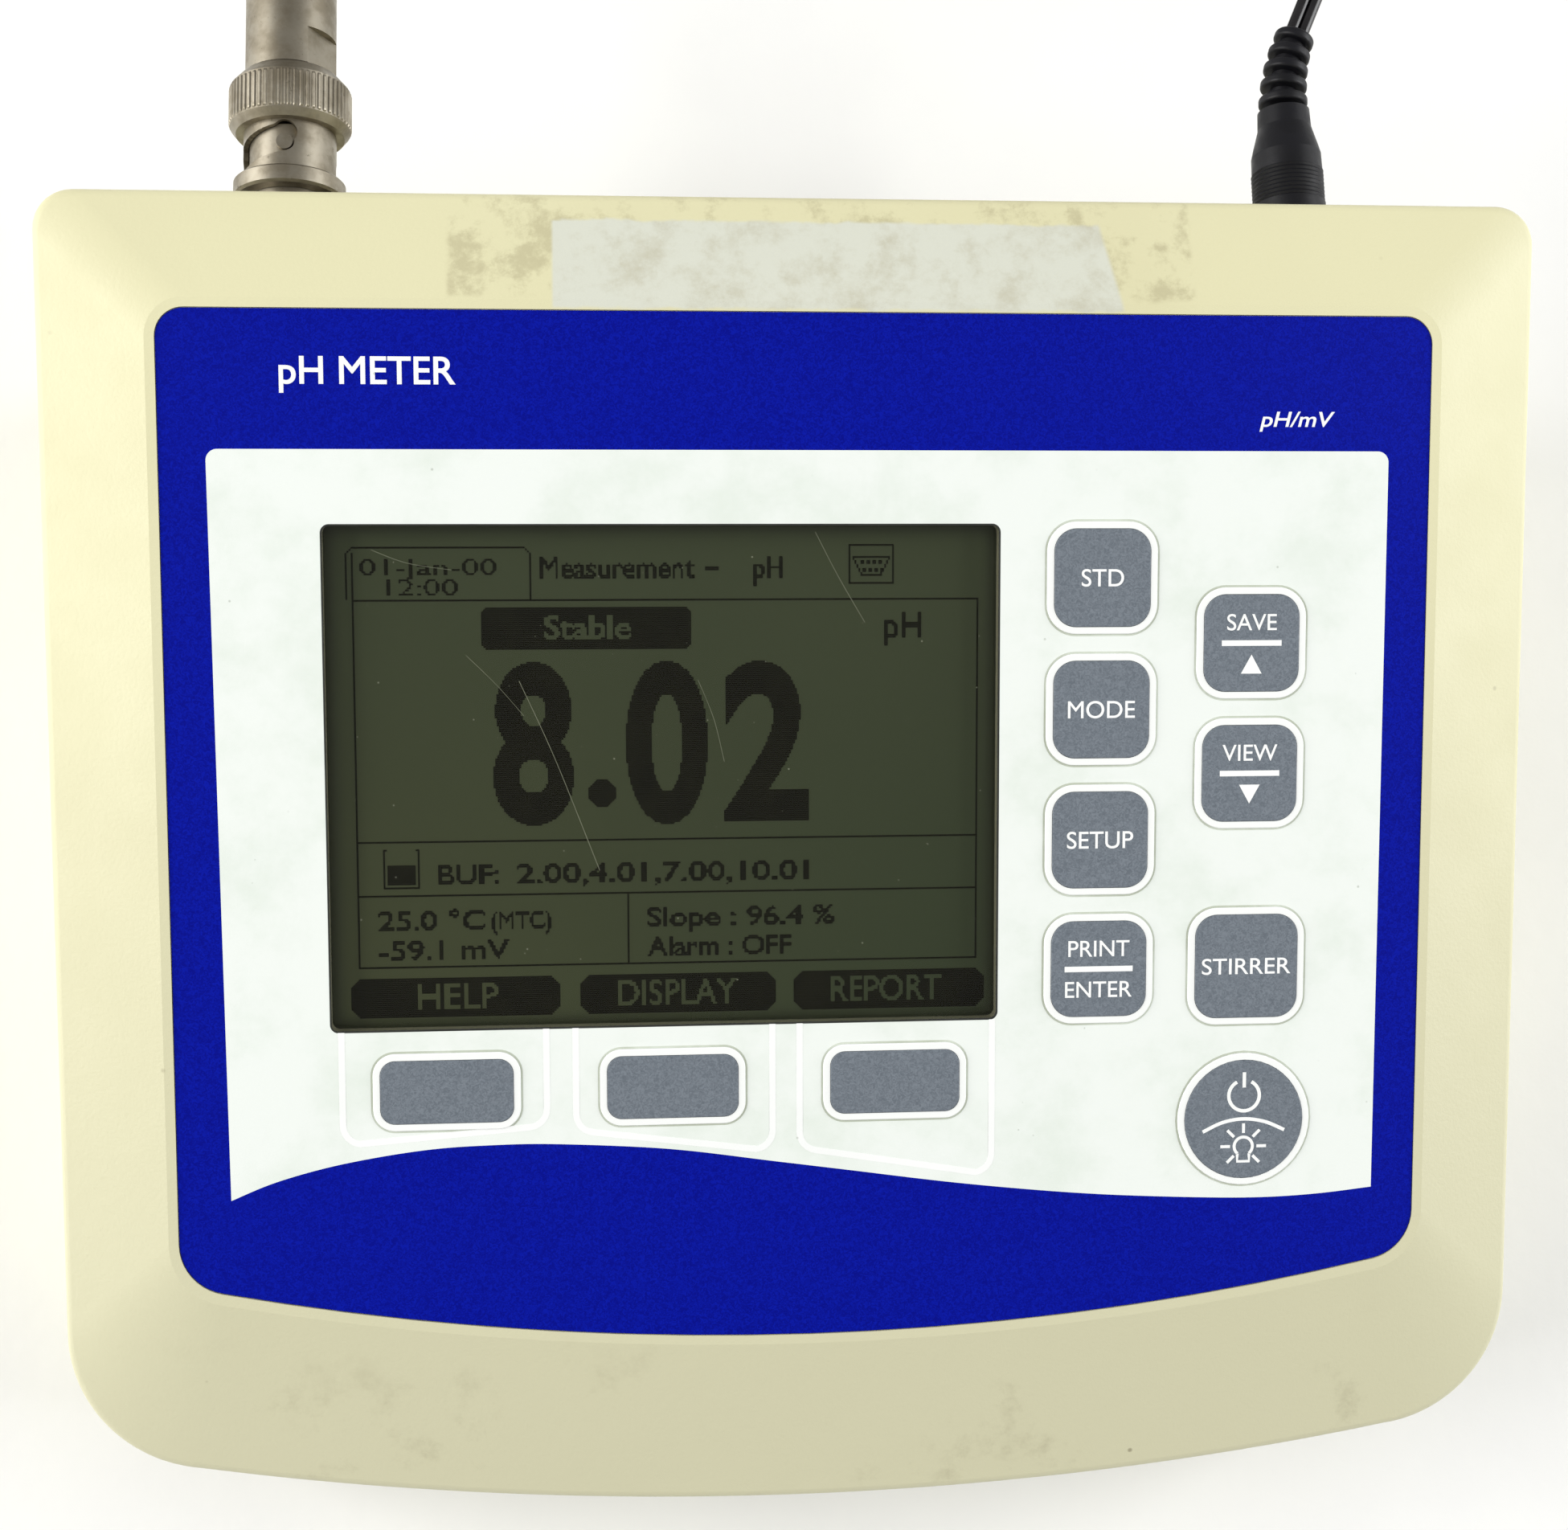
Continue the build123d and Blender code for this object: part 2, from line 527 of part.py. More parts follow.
# the serial port
flange = block(
    SERIAL_X - SERIAL_WIDTH / 2, SERIAL_X + SERIAL_WIDTH / 2, CASE_REAR_Y + 0.02, CASE_REAR_Y + 0.9,
    LOW_SOCKET_Z - SERIAL_HEIGHT / 2, LOW_SOCKET_Z + SERIAL_HEIGHT / 2,
)
shell = flange + serial_shape(17.0, 8.3, 2.2, -2, 5.8) + serial_shape(19.0, 10.2, 2.4, -9, 0.5)
shell -= serial_shape(16.2, 7.5, 1.8, -20, 20)
for side in (-1, 1):
    shell -= rod(SERIAL_X + side * SERIAL_SCREW_SPAN / 2, LOW_SOCKET_Z, -9, 5, 1.6)
save(shell, "serial_port_shell")
insert = serial_shape(16.1, 7.4, 1.75, SOCKET_BOARD_Y, 5.4)
CONTACT_PITCH = 2.77
CONTACTS = [(index * CONTACT_PITCH, 1.42) for index in (-2, -1, 0, 1, 2)]
CONTACTS += [(index * CONTACT_PITCH, -1.42) for index in (-1.5, -0.5, 0.5, 1.5)]
for offset, rise in CONTACTS:
    insert -= rod(SERIAL_X + offset, LOW_SOCKET_Z + rise, -20, 10, 0.8)
save(insert, "serial_port_insert")
contacts = [
    tube(SERIAL_X + offset, LOW_SOCKET_Z + rise, SOCKET_BOARD_Y, 5.0, 0.75, 0.5) for offset, rise in CONTACTS
]
save(Compound(contacts), "serial_port_contacts")


def make_jackscrew(x):
    """A hexagonal standoff with a threaded hole, screwed through the port's flange."""
    body = hexagon_bar(x, LOW_SOCKET_Z, 0.95, 5.8, 4.7) + rod(x, LOW_SOCKET_Z, -8, 1.0, 1.45)
    return body - rod(x, LOW_SOCKET_Z, 1.5, 6, 1.1)


jackscrews = [make_jackscrew(SERIAL_X + side * SERIAL_SCREW_SPAN / 2) for side in (-1, 1)]
save(Compound(jackscrews), "serial_jackscrews")


# the power inlet
def make_dc_jack():
    body = block(
        DC_X - 5.2, DC_X + 5.2, CASE_REAR_Y + SOCKET_BOARD_Y, CASE_REAR_Y + PANEL_BACK - 0.1,
        SOCKET_Z - 5.5, SOCKET_Z + 5.5,
    )
    body += rod(DC_X, SOCKET_Z, PANEL_BACK - 1, 0, 4.8)
    return body - rod(DC_X, SOCKET_Z, -11, 2, DC_JACK_BORE)


save(make_dc_jack(), "dc_jack")
save(rod(DC_X, SOCKET_Z, -11, -1, DC_PIN_RADIUS), "dc_jack_pin")

# ---------------------------------------------------------------- the main board and what stands on it
MAIN_FRONT_Y = CASE_FRONT_Y + 28
MAIN_REAR_Y = CASE_REAR_Y - 24
main_board = block(-68, 68, MAIN_FRONT_Y, MAIN_REAR_Y, MAIN_BOARD_Z, board_top)
for x, y in BOARD_POSTS:
    main_board -= post(x, y, 0, 30, 1.1)
save(main_board, "main_board")
save(block(-56, -32, -2, 24, board_top, board_top + 6), "amplifier_shield")
save(post(34, 2, board_top, board_top + 3.2, 10.0), "backup_battery")
socket_ribbon = block(2, 22, socket_board_front - 1, socket_board_front, 24, 40)
socket_ribbon += block(2, 22, 28, socket_board_front, 23, 24)
socket_ribbon += block(2, 22, 28, 29, board_top, 24)
display_ribbon = block(-26, -8, -39, -38.5, board_top, 36.4)
keypad_ribbon = block(38, 50, -29.5, -29.2, board_top, 44.2)
lead_path = FilletPolyline(
    (BNC_X, CASE_REAR_Y - 12, SOCKET_Z), (BNC_X, CASE_REAR_Y - 19, SOCKET_Z), (BNC_X, CASE_REAR_Y - 19, 26),
    (-44, 12, 24), (-44, 12, board_top + 6), radius=4,
)
lead_start = Plane(origin=lead_path @ 0, z_dir=lead_path % 0)
electrode_lead = sweep(lead_start * Circle(1.1), path=lead_path)
save(Compound([socket_ribbon, display_ribbon, keypad_ribbon, electrode_lead]), "internal_wiring")

# ---------------------------------------------------------------- the bayonet plug on the electrode socket
NUT_FRONT = 5.7
LIP_BACK = 7.9
SLEEVE_RADIUS = 5.55
LIP_RADIUS = 6.7
KNURL_RADIUS = 7.2
KNURL_FRONT = 14.9
KNURL_BACK = 19.8
NUT_BACK = 21.3
NUT_BORE = 4.93
CAM_RISE = 1.6
CAM_TURN = 80.0
CAM_HALF_WIDTH = LUG_RADIUS + 0.2
CAM_STEPS = 10
CAM_ROOM = 1.2
NOTCH_RADIUS = 1.5
NOTCH_AT = LUG_AT + 1.2
SHELL_RADIUS = 5.45
SHELL_BACK = 33.0
CABLE_BORE = 2.6
FLAT_ANGLE = 60.0
FLAT_DEPTH = 0.83
FLAT_END = 26.2


def make_coupling_nut():
    nut = turned([
        (NUT_FRONT, NUT_BORE), (NUT_FRONT, LIP_RADIUS - 0.3), (NUT_FRONT + 0.3, LIP_RADIUS),
        (LIP_BACK - 0.2, LIP_RADIUS), (LIP_BACK, LIP_RADIUS - 0.2), (LIP_BACK, SLEEVE_RADIUS),
        (KNURL_FRONT - 0.9, SLEEVE_RADIUS), (KNURL_FRONT - 0.9, 6.5), (KNURL_FRONT - 0.2, KNURL_RADIUS - 0.15),
        (KNURL_FRONT, KNURL_RADIUS), (KNURL_BACK, KNURL_RADIUS), (NUT_BACK, 5.9), (NUT_BACK, 4.65),
        (19.5, 4.65), (19.5, 6.4), (14.6, 6.4), (14.6, NUT_BORE),
    ], BNC_X, SOCKET_Z)
    for start in (0, 180):
        nut -= cam_slot(start)
    return nut


def cam_slot(start):
    """The helical slot for one stud, from its locked end with the detent notch round to its mouth."""
    step = CAM_TURN / CAM_STEPS
    axis = Pos(BNC_X, CASE_REAR_Y, SOCKET_Z)
    cutter = Pos(0, 0, 5.7) * Cylinder(CAM_HALF_WIDTH, 2.2)
    slot = axis * Rot(0, start, 0) * Pos(0, LUG_AT, 0) * cutter
    notch = Pos(0, 0, 5.7) * Cylinder(NOTCH_RADIUS, 2.2)
    slot += axis * Rot(0, start, 0) * Pos(0, NOTCH_AT, 0) * notch
    segment_length = 2 * SLEEVE_RADIUS * math.sin(math.radians(step / 2)) + 0.35
    lean = math.degrees(math.atan2(CAM_RISE / CAM_STEPS, segment_length))
    for index in range(CAM_STEPS):
        angle = start - (index + 0.5) * step
        along = LUG_AT - (index + 0.5) * CAM_RISE / CAM_STEPS
        bar = Pos(0, CAM_ROOM / 2, 0) * Box(segment_length, 2 * CAM_HALF_WIDTH + CAM_ROOM, 2.2)
        bar = Pos(0, 0, 5.7) * Rot(0, 0, lean) * bar
        slot += axis * Rot(0, angle, 0) * Pos(0, along, 0) * bar
    end = LUG_AT - CAM_RISE
    slot += axis * Rot(0, start - CAM_TURN, 0) * Pos(0, end, 0) * cutter
    mouth = Pos(0, (NUT_FRONT - 1 + end) / 2, 5.25) * Box(2 * CAM_HALF_WIDTH, end - NUT_FRONT + 1, 0.8)
    return slot + axis * Rot(0, start - CAM_TURN, 0) * mouth


def make_plug_shell():
    shell = turned([
        (5.6, 3.1), (5.6, 3.7), (6.4, 3.95), (14.95, 3.95), (14.95, 6.2), (16.2, 6.2), (16.2, 4.5), (21.6, 4.5),
        (21.6, SHELL_RADIUS), (SHELL_BACK, SHELL_RADIUS), (SHELL_BACK, 3.6), (24, 3.6), (24, 3.1),
    ], BNC_X, SOCKET_Z)
    for angle in (FLAT_ANGLE, FLAT_ANGLE + 180):
        cutter = Box(20, FLAT_END - 21, 2)
        cutter = Pos(0, (FLAT_END + 21) / 2, SHELL_RADIUS - FLAT_DEPTH + 1) * cutter
        shell -= Pos(BNC_X, CASE_REAR_Y, SOCKET_Z) * Rot(0, angle, 0) * cutter
    return shell


save(make_coupling_nut(), "bnc_coupling_nut")
save(make_plug_shell(), "bnc_plug_shell")
save(tube(BNC_X, SOCKET_Z, 13.2, 23.9, 3.08, 0.7), "bnc_plug_insulator")
save(turned([(7.0, 0), (7.6, 0.68), (23.9, 0.68), (23.9, 0)], BNC_X, SOCKET_Z), "bnc_plug_pin")
save(tube(BNC_X, SOCKET_Z, 16.25, 19.3, 6.15, 4.6), "bnc_spring_washer")
clamp_nut = hexagon_bar(BNC_X, SOCKET_Z, SHELL_BACK + 0.02, PLUG_REACH, 9.6)
clamp_nut += rod(BNC_X, SOCKET_Z, 29.6, 34, 3.55)
save(clamp_nut - rod(BNC_X, SOCKET_Z, 20, 45, CABLE_BORE), "bnc_clamp_nut")

# ---------------------------------------------------------------- the power lead: plug, relief, cord, adapter
DC_RING = 6.7
DC_GROOVE_END = 11.0
DC_BODY_END = 13.3
DC_TAPER_END = 17.0
DC_NECK_END = 19.3
DC_NECK_RADIUS = 3.25
DC_PLUG_RADIUS = 4.55
DC_GROOVES = 8
RELIEF_RINGS = 5
RELIEF_LENGTH = 10.9
RELIEF_RADIUS = 3.15
RELIEF_TIP = 2.5
RELIEF_CORE = 1.65


def make_dc_plug():
    points = [(0.5, 2.75), (0.5, DC_PLUG_RADIUS), (DC_RING, DC_PLUG_RADIUS)]
    pitch = (DC_GROOVE_END - DC_RING) / DC_GROOVES
    for index in range(DC_GROOVES):
        start = DC_RING + index * pitch
        points += [(start + 0.15, DC_PLUG_RADIUS - 0.2), (start + pitch - 0.1, DC_PLUG_RADIUS - 0.05)]
    points += [
        (DC_GROOVE_END, DC_PLUG_RADIUS - 0.15), (DC_BODY_END, DC_PLUG_RADIUS - 0.2),
        (DC_BODY_END + 1, DC_PLUG_RADIUS - 0.45), (DC_TAPER_END, DC_NECK_RADIUS + 0.1),
        (DC_NECK_END, DC_NECK_RADIUS), (DC_NECK_END, 0), (8, 0), (8, 2.75),
    ]
    return turned(points, DC_X, SOCKET_Z)


def relief_arc():
    """The strain relief's centre line: an arc that leaves the plug square and leans to the right."""
    radius = RELIEF_LENGTH / math.radians(RELIEF_BEND)
    start = Vector(DC_X, CASE_REAR_Y + DC_NECK_END, SOCKET_Z)
    middle = math.radians(RELIEF_BEND / 2)
    end = math.radians(RELIEF_BEND)
    return ThreePointArc(
        start,
        start + Vector(radius * (1 - math.cos(middle)), radius * math.sin(middle), 0),
        start + Vector(radius * (1 - math.cos(end)), radius * math.sin(end), 0),
    )


def make_relief():
    path = relief_arc()
    relief = sweep(Plane(origin=path @ 0, z_dir=path % 0) * Circle(RELIEF_CORE), path=path)
    for index in range(RELIEF_RINGS):
        share = (index + 0.62) / RELIEF_RINGS
        radius = RELIEF_RADIUS + (RELIEF_TIP - RELIEF_RADIUS) * share
        place = Plane(origin=path @ share, z_dir=path % share)
        ring = fillet(Cylinder(radius, 1.25).edges().filter_by(GeomType.CIRCLE), 0.4)
        relief += place * ring
    return relief


save(make_dc_plug(), "dc_plug_body")
save(tube(DC_X, SOCKET_Z, -9.4, 7.9, 2.73, 1.15), "dc_plug_barrel")
save(make_relief(), "dc_strain_relief")

COIL_X = 66.0
COIL_Y = 158.0
COIL_MIDDLE = 17.0
COIL_SPREAD = 6.0
COIL_HEIGHT = 12.0
CORD_RADIUS = CORD_WIDTH / 2
ADAPTER_LEFT = -5.0
ADAPTER_LENGTH = 46.0
ADAPTER_WIDTH = 36.0
ADAPTER_HEIGHT = 30.0
CORD_ENTRY_X = 54.0
CORD_ENTRY_Y = COIL_Y + 20.0
CORD_ENTRY_Z = 6.0
BLADE_LENGTH = 17.0
BLADE_WIDTH = 6.3
BLADE_THICK = 1.5
BLADE_SPACING = 12.7

relief_end = relief_arc() @ 1
relief_way = relief_arc() % 1
CORD_ROUTE = [
    relief_end,
    relief_end + relief_way * 16,
    Vector(76.5, 115, 48),
    Vector(81, 126, 37.5),
    Vector(84.5, 137, 23),
    Vector(87, 147.5, 9.5),
    Vector(86.5, 159, 4),
]


def arc_radii(route):
    """Each corner's arc: 0.45 of its shorter run, divided by the tangent of half its turn."""
    radii = []
    for before, corner, after in zip(route, route[1:], route[2:]):
        turn = math.radians((corner - before).get_angle(after - corner))
        radii.append(0.45 * min((corner - before).length, (after - corner).length) / math.tan(turn / 2))
    return radii


def make_cord(route):
    path = FilletPolyline(*route, radius=arc_radii(route))
    section = Plane(origin=path @ 0, z_dir=path % 0) * Circle(CORD_RADIUS)
    return sweep(section, path=path)


save(make_cord(CORD_ROUTE), "power_cord")

coil = Pos(COIL_X, COIL_Y, COIL_HEIGHT / 2) * (
    Cylinder(COIL_MIDDLE + COIL_SPREAD, COIL_HEIGHT) - Cylinder(COIL_MIDDLE - COIL_SPREAD, COIL_HEIGHT)
)
save(coil, "power_cord_coil")


def make_adapter_case():
    """The wall adapter's case, lying on its side, with the strain relief that its cord comes out of."""
    right = ADAPTER_LEFT + ADAPTER_LENGTH
    y_low = CORD_ENTRY_Y - ADAPTER_WIDTH / 2
    body = block(ADAPTER_LEFT, right, y_low, y_low + ADAPTER_WIDTH, 0, ADAPTER_HEIGHT)
    body = fillet(body.edges().filter_by(Axis.X), 3.0)
    body = fillet(body.faces().sort_by(Axis.X)[-1].edges(), 2.0)
    relief = Cone(3.4, 2.2, CORD_ENTRY_X - right)
    relief = Pos((CORD_ENTRY_X + right) / 2, CORD_ENTRY_Y, CORD_ENTRY_Z) * Rot(0, 90, 0) * relief
    for side in (-1, 1):
        body -= blade(side, 6.0)
    return body + relief


def blade(side, inside):
    """One flat mains blade out of the adapter's end face, reaching inside it by the given length."""
    y = CORD_ENTRY_Y + side * BLADE_SPACING / 2
    z = ADAPTER_HEIGHT / 2
    return block(
        ADAPTER_LEFT - BLADE_LENGTH, ADAPTER_LEFT + inside, y - BLADE_THICK / 2, y + BLADE_THICK / 2,
        z - BLADE_WIDTH / 2, z + BLADE_WIDTH / 2,
    )


save(make_adapter_case(), "adapter_case")
save(Compound([blade(-1, 6.0), blade(1, 6.0)]), "adapter_blades")
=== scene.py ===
import json
import math
import random

import bmesh
import bpy
from mathutils import Matrix, Vector

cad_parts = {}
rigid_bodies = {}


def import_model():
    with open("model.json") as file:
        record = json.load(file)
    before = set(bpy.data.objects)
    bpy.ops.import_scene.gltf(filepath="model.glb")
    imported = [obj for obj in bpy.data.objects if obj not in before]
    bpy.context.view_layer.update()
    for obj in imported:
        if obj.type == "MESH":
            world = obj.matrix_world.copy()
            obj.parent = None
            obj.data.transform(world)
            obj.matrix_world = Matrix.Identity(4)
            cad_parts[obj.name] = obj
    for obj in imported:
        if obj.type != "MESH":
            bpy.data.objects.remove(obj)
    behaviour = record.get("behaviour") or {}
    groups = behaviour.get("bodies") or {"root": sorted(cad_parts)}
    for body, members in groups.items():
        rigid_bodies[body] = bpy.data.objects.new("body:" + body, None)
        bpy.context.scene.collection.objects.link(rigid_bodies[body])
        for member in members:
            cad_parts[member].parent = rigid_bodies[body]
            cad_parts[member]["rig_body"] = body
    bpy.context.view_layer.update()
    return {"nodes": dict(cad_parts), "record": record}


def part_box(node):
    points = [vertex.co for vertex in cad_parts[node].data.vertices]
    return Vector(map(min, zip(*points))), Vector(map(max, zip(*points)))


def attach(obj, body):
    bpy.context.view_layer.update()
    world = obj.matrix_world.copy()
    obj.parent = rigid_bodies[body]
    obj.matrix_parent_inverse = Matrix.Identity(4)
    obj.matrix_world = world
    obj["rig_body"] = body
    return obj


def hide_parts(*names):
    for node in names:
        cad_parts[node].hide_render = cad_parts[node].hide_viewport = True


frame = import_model()
NODES = frame["nodes"]
random.seed(7)

# ---------------------------------------------------------------- places, in mm, as in the CAD part
MM = 0.001
SLOPE = math.radians(14)
SIN, COS = math.sin(SLOPE), math.cos(SLOPE)
RIM_REAR_V = 68.3
BEZEL_DROP = 5.0
CROWN_REAR_V = 55.6
case_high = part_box("upper_case")[1]
CASE_REAR_Y = case_high.y / MM
FACE_Y = CASE_REAR_Y - RIM_REAR_V * COS - BEZEL_DROP * SIN
FACE_Z = case_high.z / MM - CROWN_REAR_V * SIN
FACE = Matrix((
    (1, 0, 0, 0),
    (0, COS, -SIN, FACE_Y * MM),
    (0, SIN, COS, FACE_Z * MM),
    (0, 0, 0, 1),
))

# Levels along the face's normal, n. INK is a print's thickness, LETTER_DEPTH about half a letter's.
FILM_TOP = -0.15
INK = 0.02
LETTER_DEPTH = 0.01
KEY_TOP = 0.2
GLASS_TOP = -3.35
PANE_TOP = -0.17

# On the face u runs to the right and v to the rear. A shape is the u and v of its middle, its width and
# its height, and for a key its corner radius too.
WINDOW = (-16.7, 1.2, 77.6, 58.1)
WINDOW_CORNER = 0.8
KEY_COLUMN_U, SIDE_COLUMN_U, TOP_KEY_V, KEY_PITCH = 34.3, 52.2, 24.1, 15.4
KEY_SIZE = (11.4, 11.4, 2.6)
SOFT_KEY_V = -35.1
SOFT_KEY_SIZE = (15.3, 7.4, 1.7)
KEYS = {
    "key_standardise": (KEY_COLUMN_U, TOP_KEY_V, *KEY_SIZE),
    "key_mode": (KEY_COLUMN_U, TOP_KEY_V - KEY_PITCH, *KEY_SIZE),
    "key_setup": (KEY_COLUMN_U, TOP_KEY_V - 2 * KEY_PITCH, *KEY_SIZE),
    "key_print": (KEY_COLUMN_U, TOP_KEY_V - 3 * KEY_PITCH, *KEY_SIZE),
    "key_save": (SIDE_COLUMN_U, TOP_KEY_V - KEY_PITCH / 2, *KEY_SIZE),
    "key_view": (SIDE_COLUMN_U, TOP_KEY_V - 1.5 * KEY_PITCH, *KEY_SIZE),
    "key_stirrer": (SIDE_COLUMN_U, TOP_KEY_V - 3 * KEY_PITCH, 12.4, 12.4, 2.6),
    "key_power": (SIDE_COLUMN_U, -40.7, 14.4, 14.4, 7.2),
    "soft_key_left": (-42.4, SOFT_KEY_V, *SOFT_KEY_SIZE),
    "soft_key_middle": (-16.2, SOFT_KEY_V, *SOFT_KEY_SIZE),
    "soft_key_right": (10.0, SOFT_KEY_V, *SOFT_KEY_SIZE),
}
KEY_BORDER = 0.85
KEY_CLEARANCE = 0.7

SOCKET_Z = 49.5
BNC = (-61.0, CASE_REAR_Y, SOCKET_Z)
DC = (63.4, CASE_REAR_Y, SOCKET_Z)


# ---------------------------------------------------------------- camera and light
LENS, SENSOR_WIDTH = 51.67, 36
CAMERA_RIGHT = Vector((0.99577, -0.02424, 0.08863))
CAMERA_UP = Vector((0.01049, 0.98827, 0.15234))
CAMERA_PLACE = Vector((-26.92, -47.85, 313.29)) * MM
WORLD_COLOUR = (1.0, 0.99, 0.97, 1)
WORLD_STRENGTH = 0.41
LAMP_SIDE = 0.8
LAMP_TARGET = (0, 0, 0.04)
LAMPS = (
    ("left", (-1.0, 0.05, 0.52), 13.0, (1.0, 0.995, 0.975)),
    ("right", (1.0, 0.05, 0.52), 10.8, (0.98, 0.99, 1.0)),
)


def make_camera():
    camera = bpy.data.objects.new("camera", bpy.data.cameras.new("camera"))
    bpy.context.scene.collection.objects.link(camera)
    camera.data.sensor_fit = "HORIZONTAL"
    camera.data.sensor_width = SENSOR_WIDTH
    camera.data.lens = LENS
    camera.data.clip_start = 0.01
    back = CAMERA_RIGHT.cross(CAMERA_UP)
    place = Matrix((CAMERA_RIGHT, CAMERA_UP, back)).transposed().to_4x4()
    place.translation = CAMERA_PLACE
    camera.matrix_world = place
    bpy.context.scene.camera = camera


def area_light(name, place, power, colour):
    light = bpy.data.lights.new(name, "AREA")
    light.shape = "RECTANGLE"
    light.size = light.size_y = LAMP_SIDE
    light.energy = power
    light.color = colour
    lamp = bpy.data.objects.new(name, light)
    bpy.context.scene.collection.objects.link(lamp)
    lamp.location = place
    way = Vector(LAMP_TARGET) - Vector(place)
    lamp.rotation_euler = way.to_track_quat("-Z", "Y").to_euler()


def make_light():
    world = bpy.data.worlds.new("studio")
    bpy.context.scene.world = world
    world.use_nodes = True
    background = world.node_tree.nodes["Background"]
    background.inputs["Color"].default_value = WORLD_COLOUR
    background.inputs["Strength"].default_value = WORLD_STRENGTH
    for lamp in LAMPS:
        area_light(*lamp)
    bpy.context.scene.view_settings.view_transform = "Standard"
    bpy.context.scene.view_settings.look = "None"


# ---------------------------------------------------------------- materials
def srgb(red, green, blue):
    """A colour from its three display levels of 255."""
    def linear(c):
        c /= 255
        return c / 12.92 if c <= 0.04045 else ((c + 0.055) / 1.055) ** 2.4

    return (linear(red), linear(green), linear(blue), 1.0)


class Shader:
    """Builds one material. A call adds nodes and returns their output; sockets take outputs or values."""

    def __init__(self, name):
        self.material = bpy.data.materials.new(name)
        self.material.use_nodes = True
        self.tree = self.material.node_tree
        self.tree.nodes.clear()
        self.place = self.add("ShaderNodeTexCoord").outputs["Object"]

    def add(self, kind, **settings):
        node = self.tree.nodes.new(kind)
        for key, value in settings.items():
            setattr(node, key, value)
        return node

    def put(self, socket, value):
        if isinstance(value, bpy.types.NodeSocket):
            self.tree.links.new(value, socket)
        elif value is not None:
            socket.default_value = value

    def noise(self, size_mm, detail=2.0, roughness=0.5, distortion=0.0):
        node = self.add("ShaderNodeTexNoise")
        self.put(node.inputs["Vector"], self.place)
        node.inputs["Scale"].default_value = 1 / (size_mm * MM)
        node.inputs["Detail"].default_value = detail
        node.inputs["Roughness"].default_value = roughness
        node.inputs["Distortion"].default_value = distortion
        return node.outputs["Fac"]

    def cells(self, size_mm):
        node = self.add("ShaderNodeTexVoronoi")
        self.put(node.inputs["Vector"], self.place)
        node.inputs["Scale"].default_value = 1 / (size_mm * MM)
        return node.outputs["Distance"]

    def ramp(self, value, low, high, at_low=0.0, at_high=1.0):
        node = self.add("ShaderNodeMapRange", interpolation_type="SMOOTHSTEP")
        self.put(node.inputs["Value"], value)
        for key, number in (("From Min", low), ("From Max", high), ("To Min", at_low), ("To Max", at_high)):
            node.inputs[key].default_value = number
        return node.outputs["Result"]

    def math(self, operation, first, second=None):
        node = self.add("ShaderNodeMath", operation=operation)
        self.put(node.inputs[0], first)
        self.put(node.inputs[1], second)
        return node.outputs[0]

    def mix(self, share, first, second):
        node = self.add("ShaderNodeMix", data_type="RGBA")
        self.put(node.inputs["Factor"], share)
        self.put(node.inputs[6], first)
        self.put(node.inputs[7], second)
        return node.outputs[2]

    def along(self, direction, start):
        """The distance in mm from a plane through start, square to direction."""
        shift = self.add("ShaderNodeVectorMath", operation="SUBTRACT")
        self.put(shift.inputs[0], self.place)
        shift.inputs[1].default_value = start
        dot = self.add("ShaderNodeVectorMath", operation="DOT_PRODUCT")
        self.put(dot.inputs[0], shift.outputs[0])
        dot.inputs[1].default_value = tuple(c / MM for c in direction)
        return dot.outputs["Value"]

    def face(self):
        """u, v and n of the sloping face, in mm."""
        start = (0, FACE_Y * MM, FACE_Z * MM)
        return [self.along(way, start) for way in ((1, 0, 0), (0, COS, SIN), (0, -SIN, COS))]

    def between(self, value, low, high, soft):
        """1 where the value lies from low to high, 0 elsewhere, with edges 2 * soft wide."""
        rise = self.ramp(value, low - soft, low + soft)
        return self.math("MULTIPLY", rise, self.ramp(value, high - soft, high + soft, 1.0, 0.0))

    def bump(self, height, depth_mm, normal=None):
        node = self.add("ShaderNodeBump")
        self.put(node.inputs["Height"], height)
        node.inputs["Distance"].default_value = depth_mm * MM
        self.put(node.inputs["Normal"], normal)
        return node.outputs["Normal"]

    def surface(self, colour, roughness, normal=None, metallic=0.0, specular=0.5):
        node = self.add("ShaderNodeBsdfPrincipled")
        self.put(node.inputs["Base Color"], colour)
        self.put(node.inputs["Roughness"], roughness)
        self.put(node.inputs["Metallic"], metallic)
        self.put(node.inputs["Specular IOR Level"], specular)
        self.put(node.inputs["Normal"], normal)
        return node.outputs["BSDF"]

    def finish(self, shader):
        output = self.add("ShaderNodeOutputMaterial")
        self.tree.links.new(shader, output.inputs["Surface"])
        return self.material


# Marks on the case, in mm. RESIDUE and PATCH are left, right, front and rear on the face, PATCH_END is
# where the patch's slanting right end fades, BEZEL_LEVELS where the rear edge gives way to the bezel,
# and SEAM the heights between the two halves.
RESIDUE = (-41, 45, 56.6, 68.4)
PATCH = (-29.2, 48, 55.3, 65.6)
PATCH_SLANT = 0.22
PATCH_END = (48.2, 48.9)
BEZEL_LEVELS = (-6.5, -5.0)
SEAM = (15.9, 16.15)


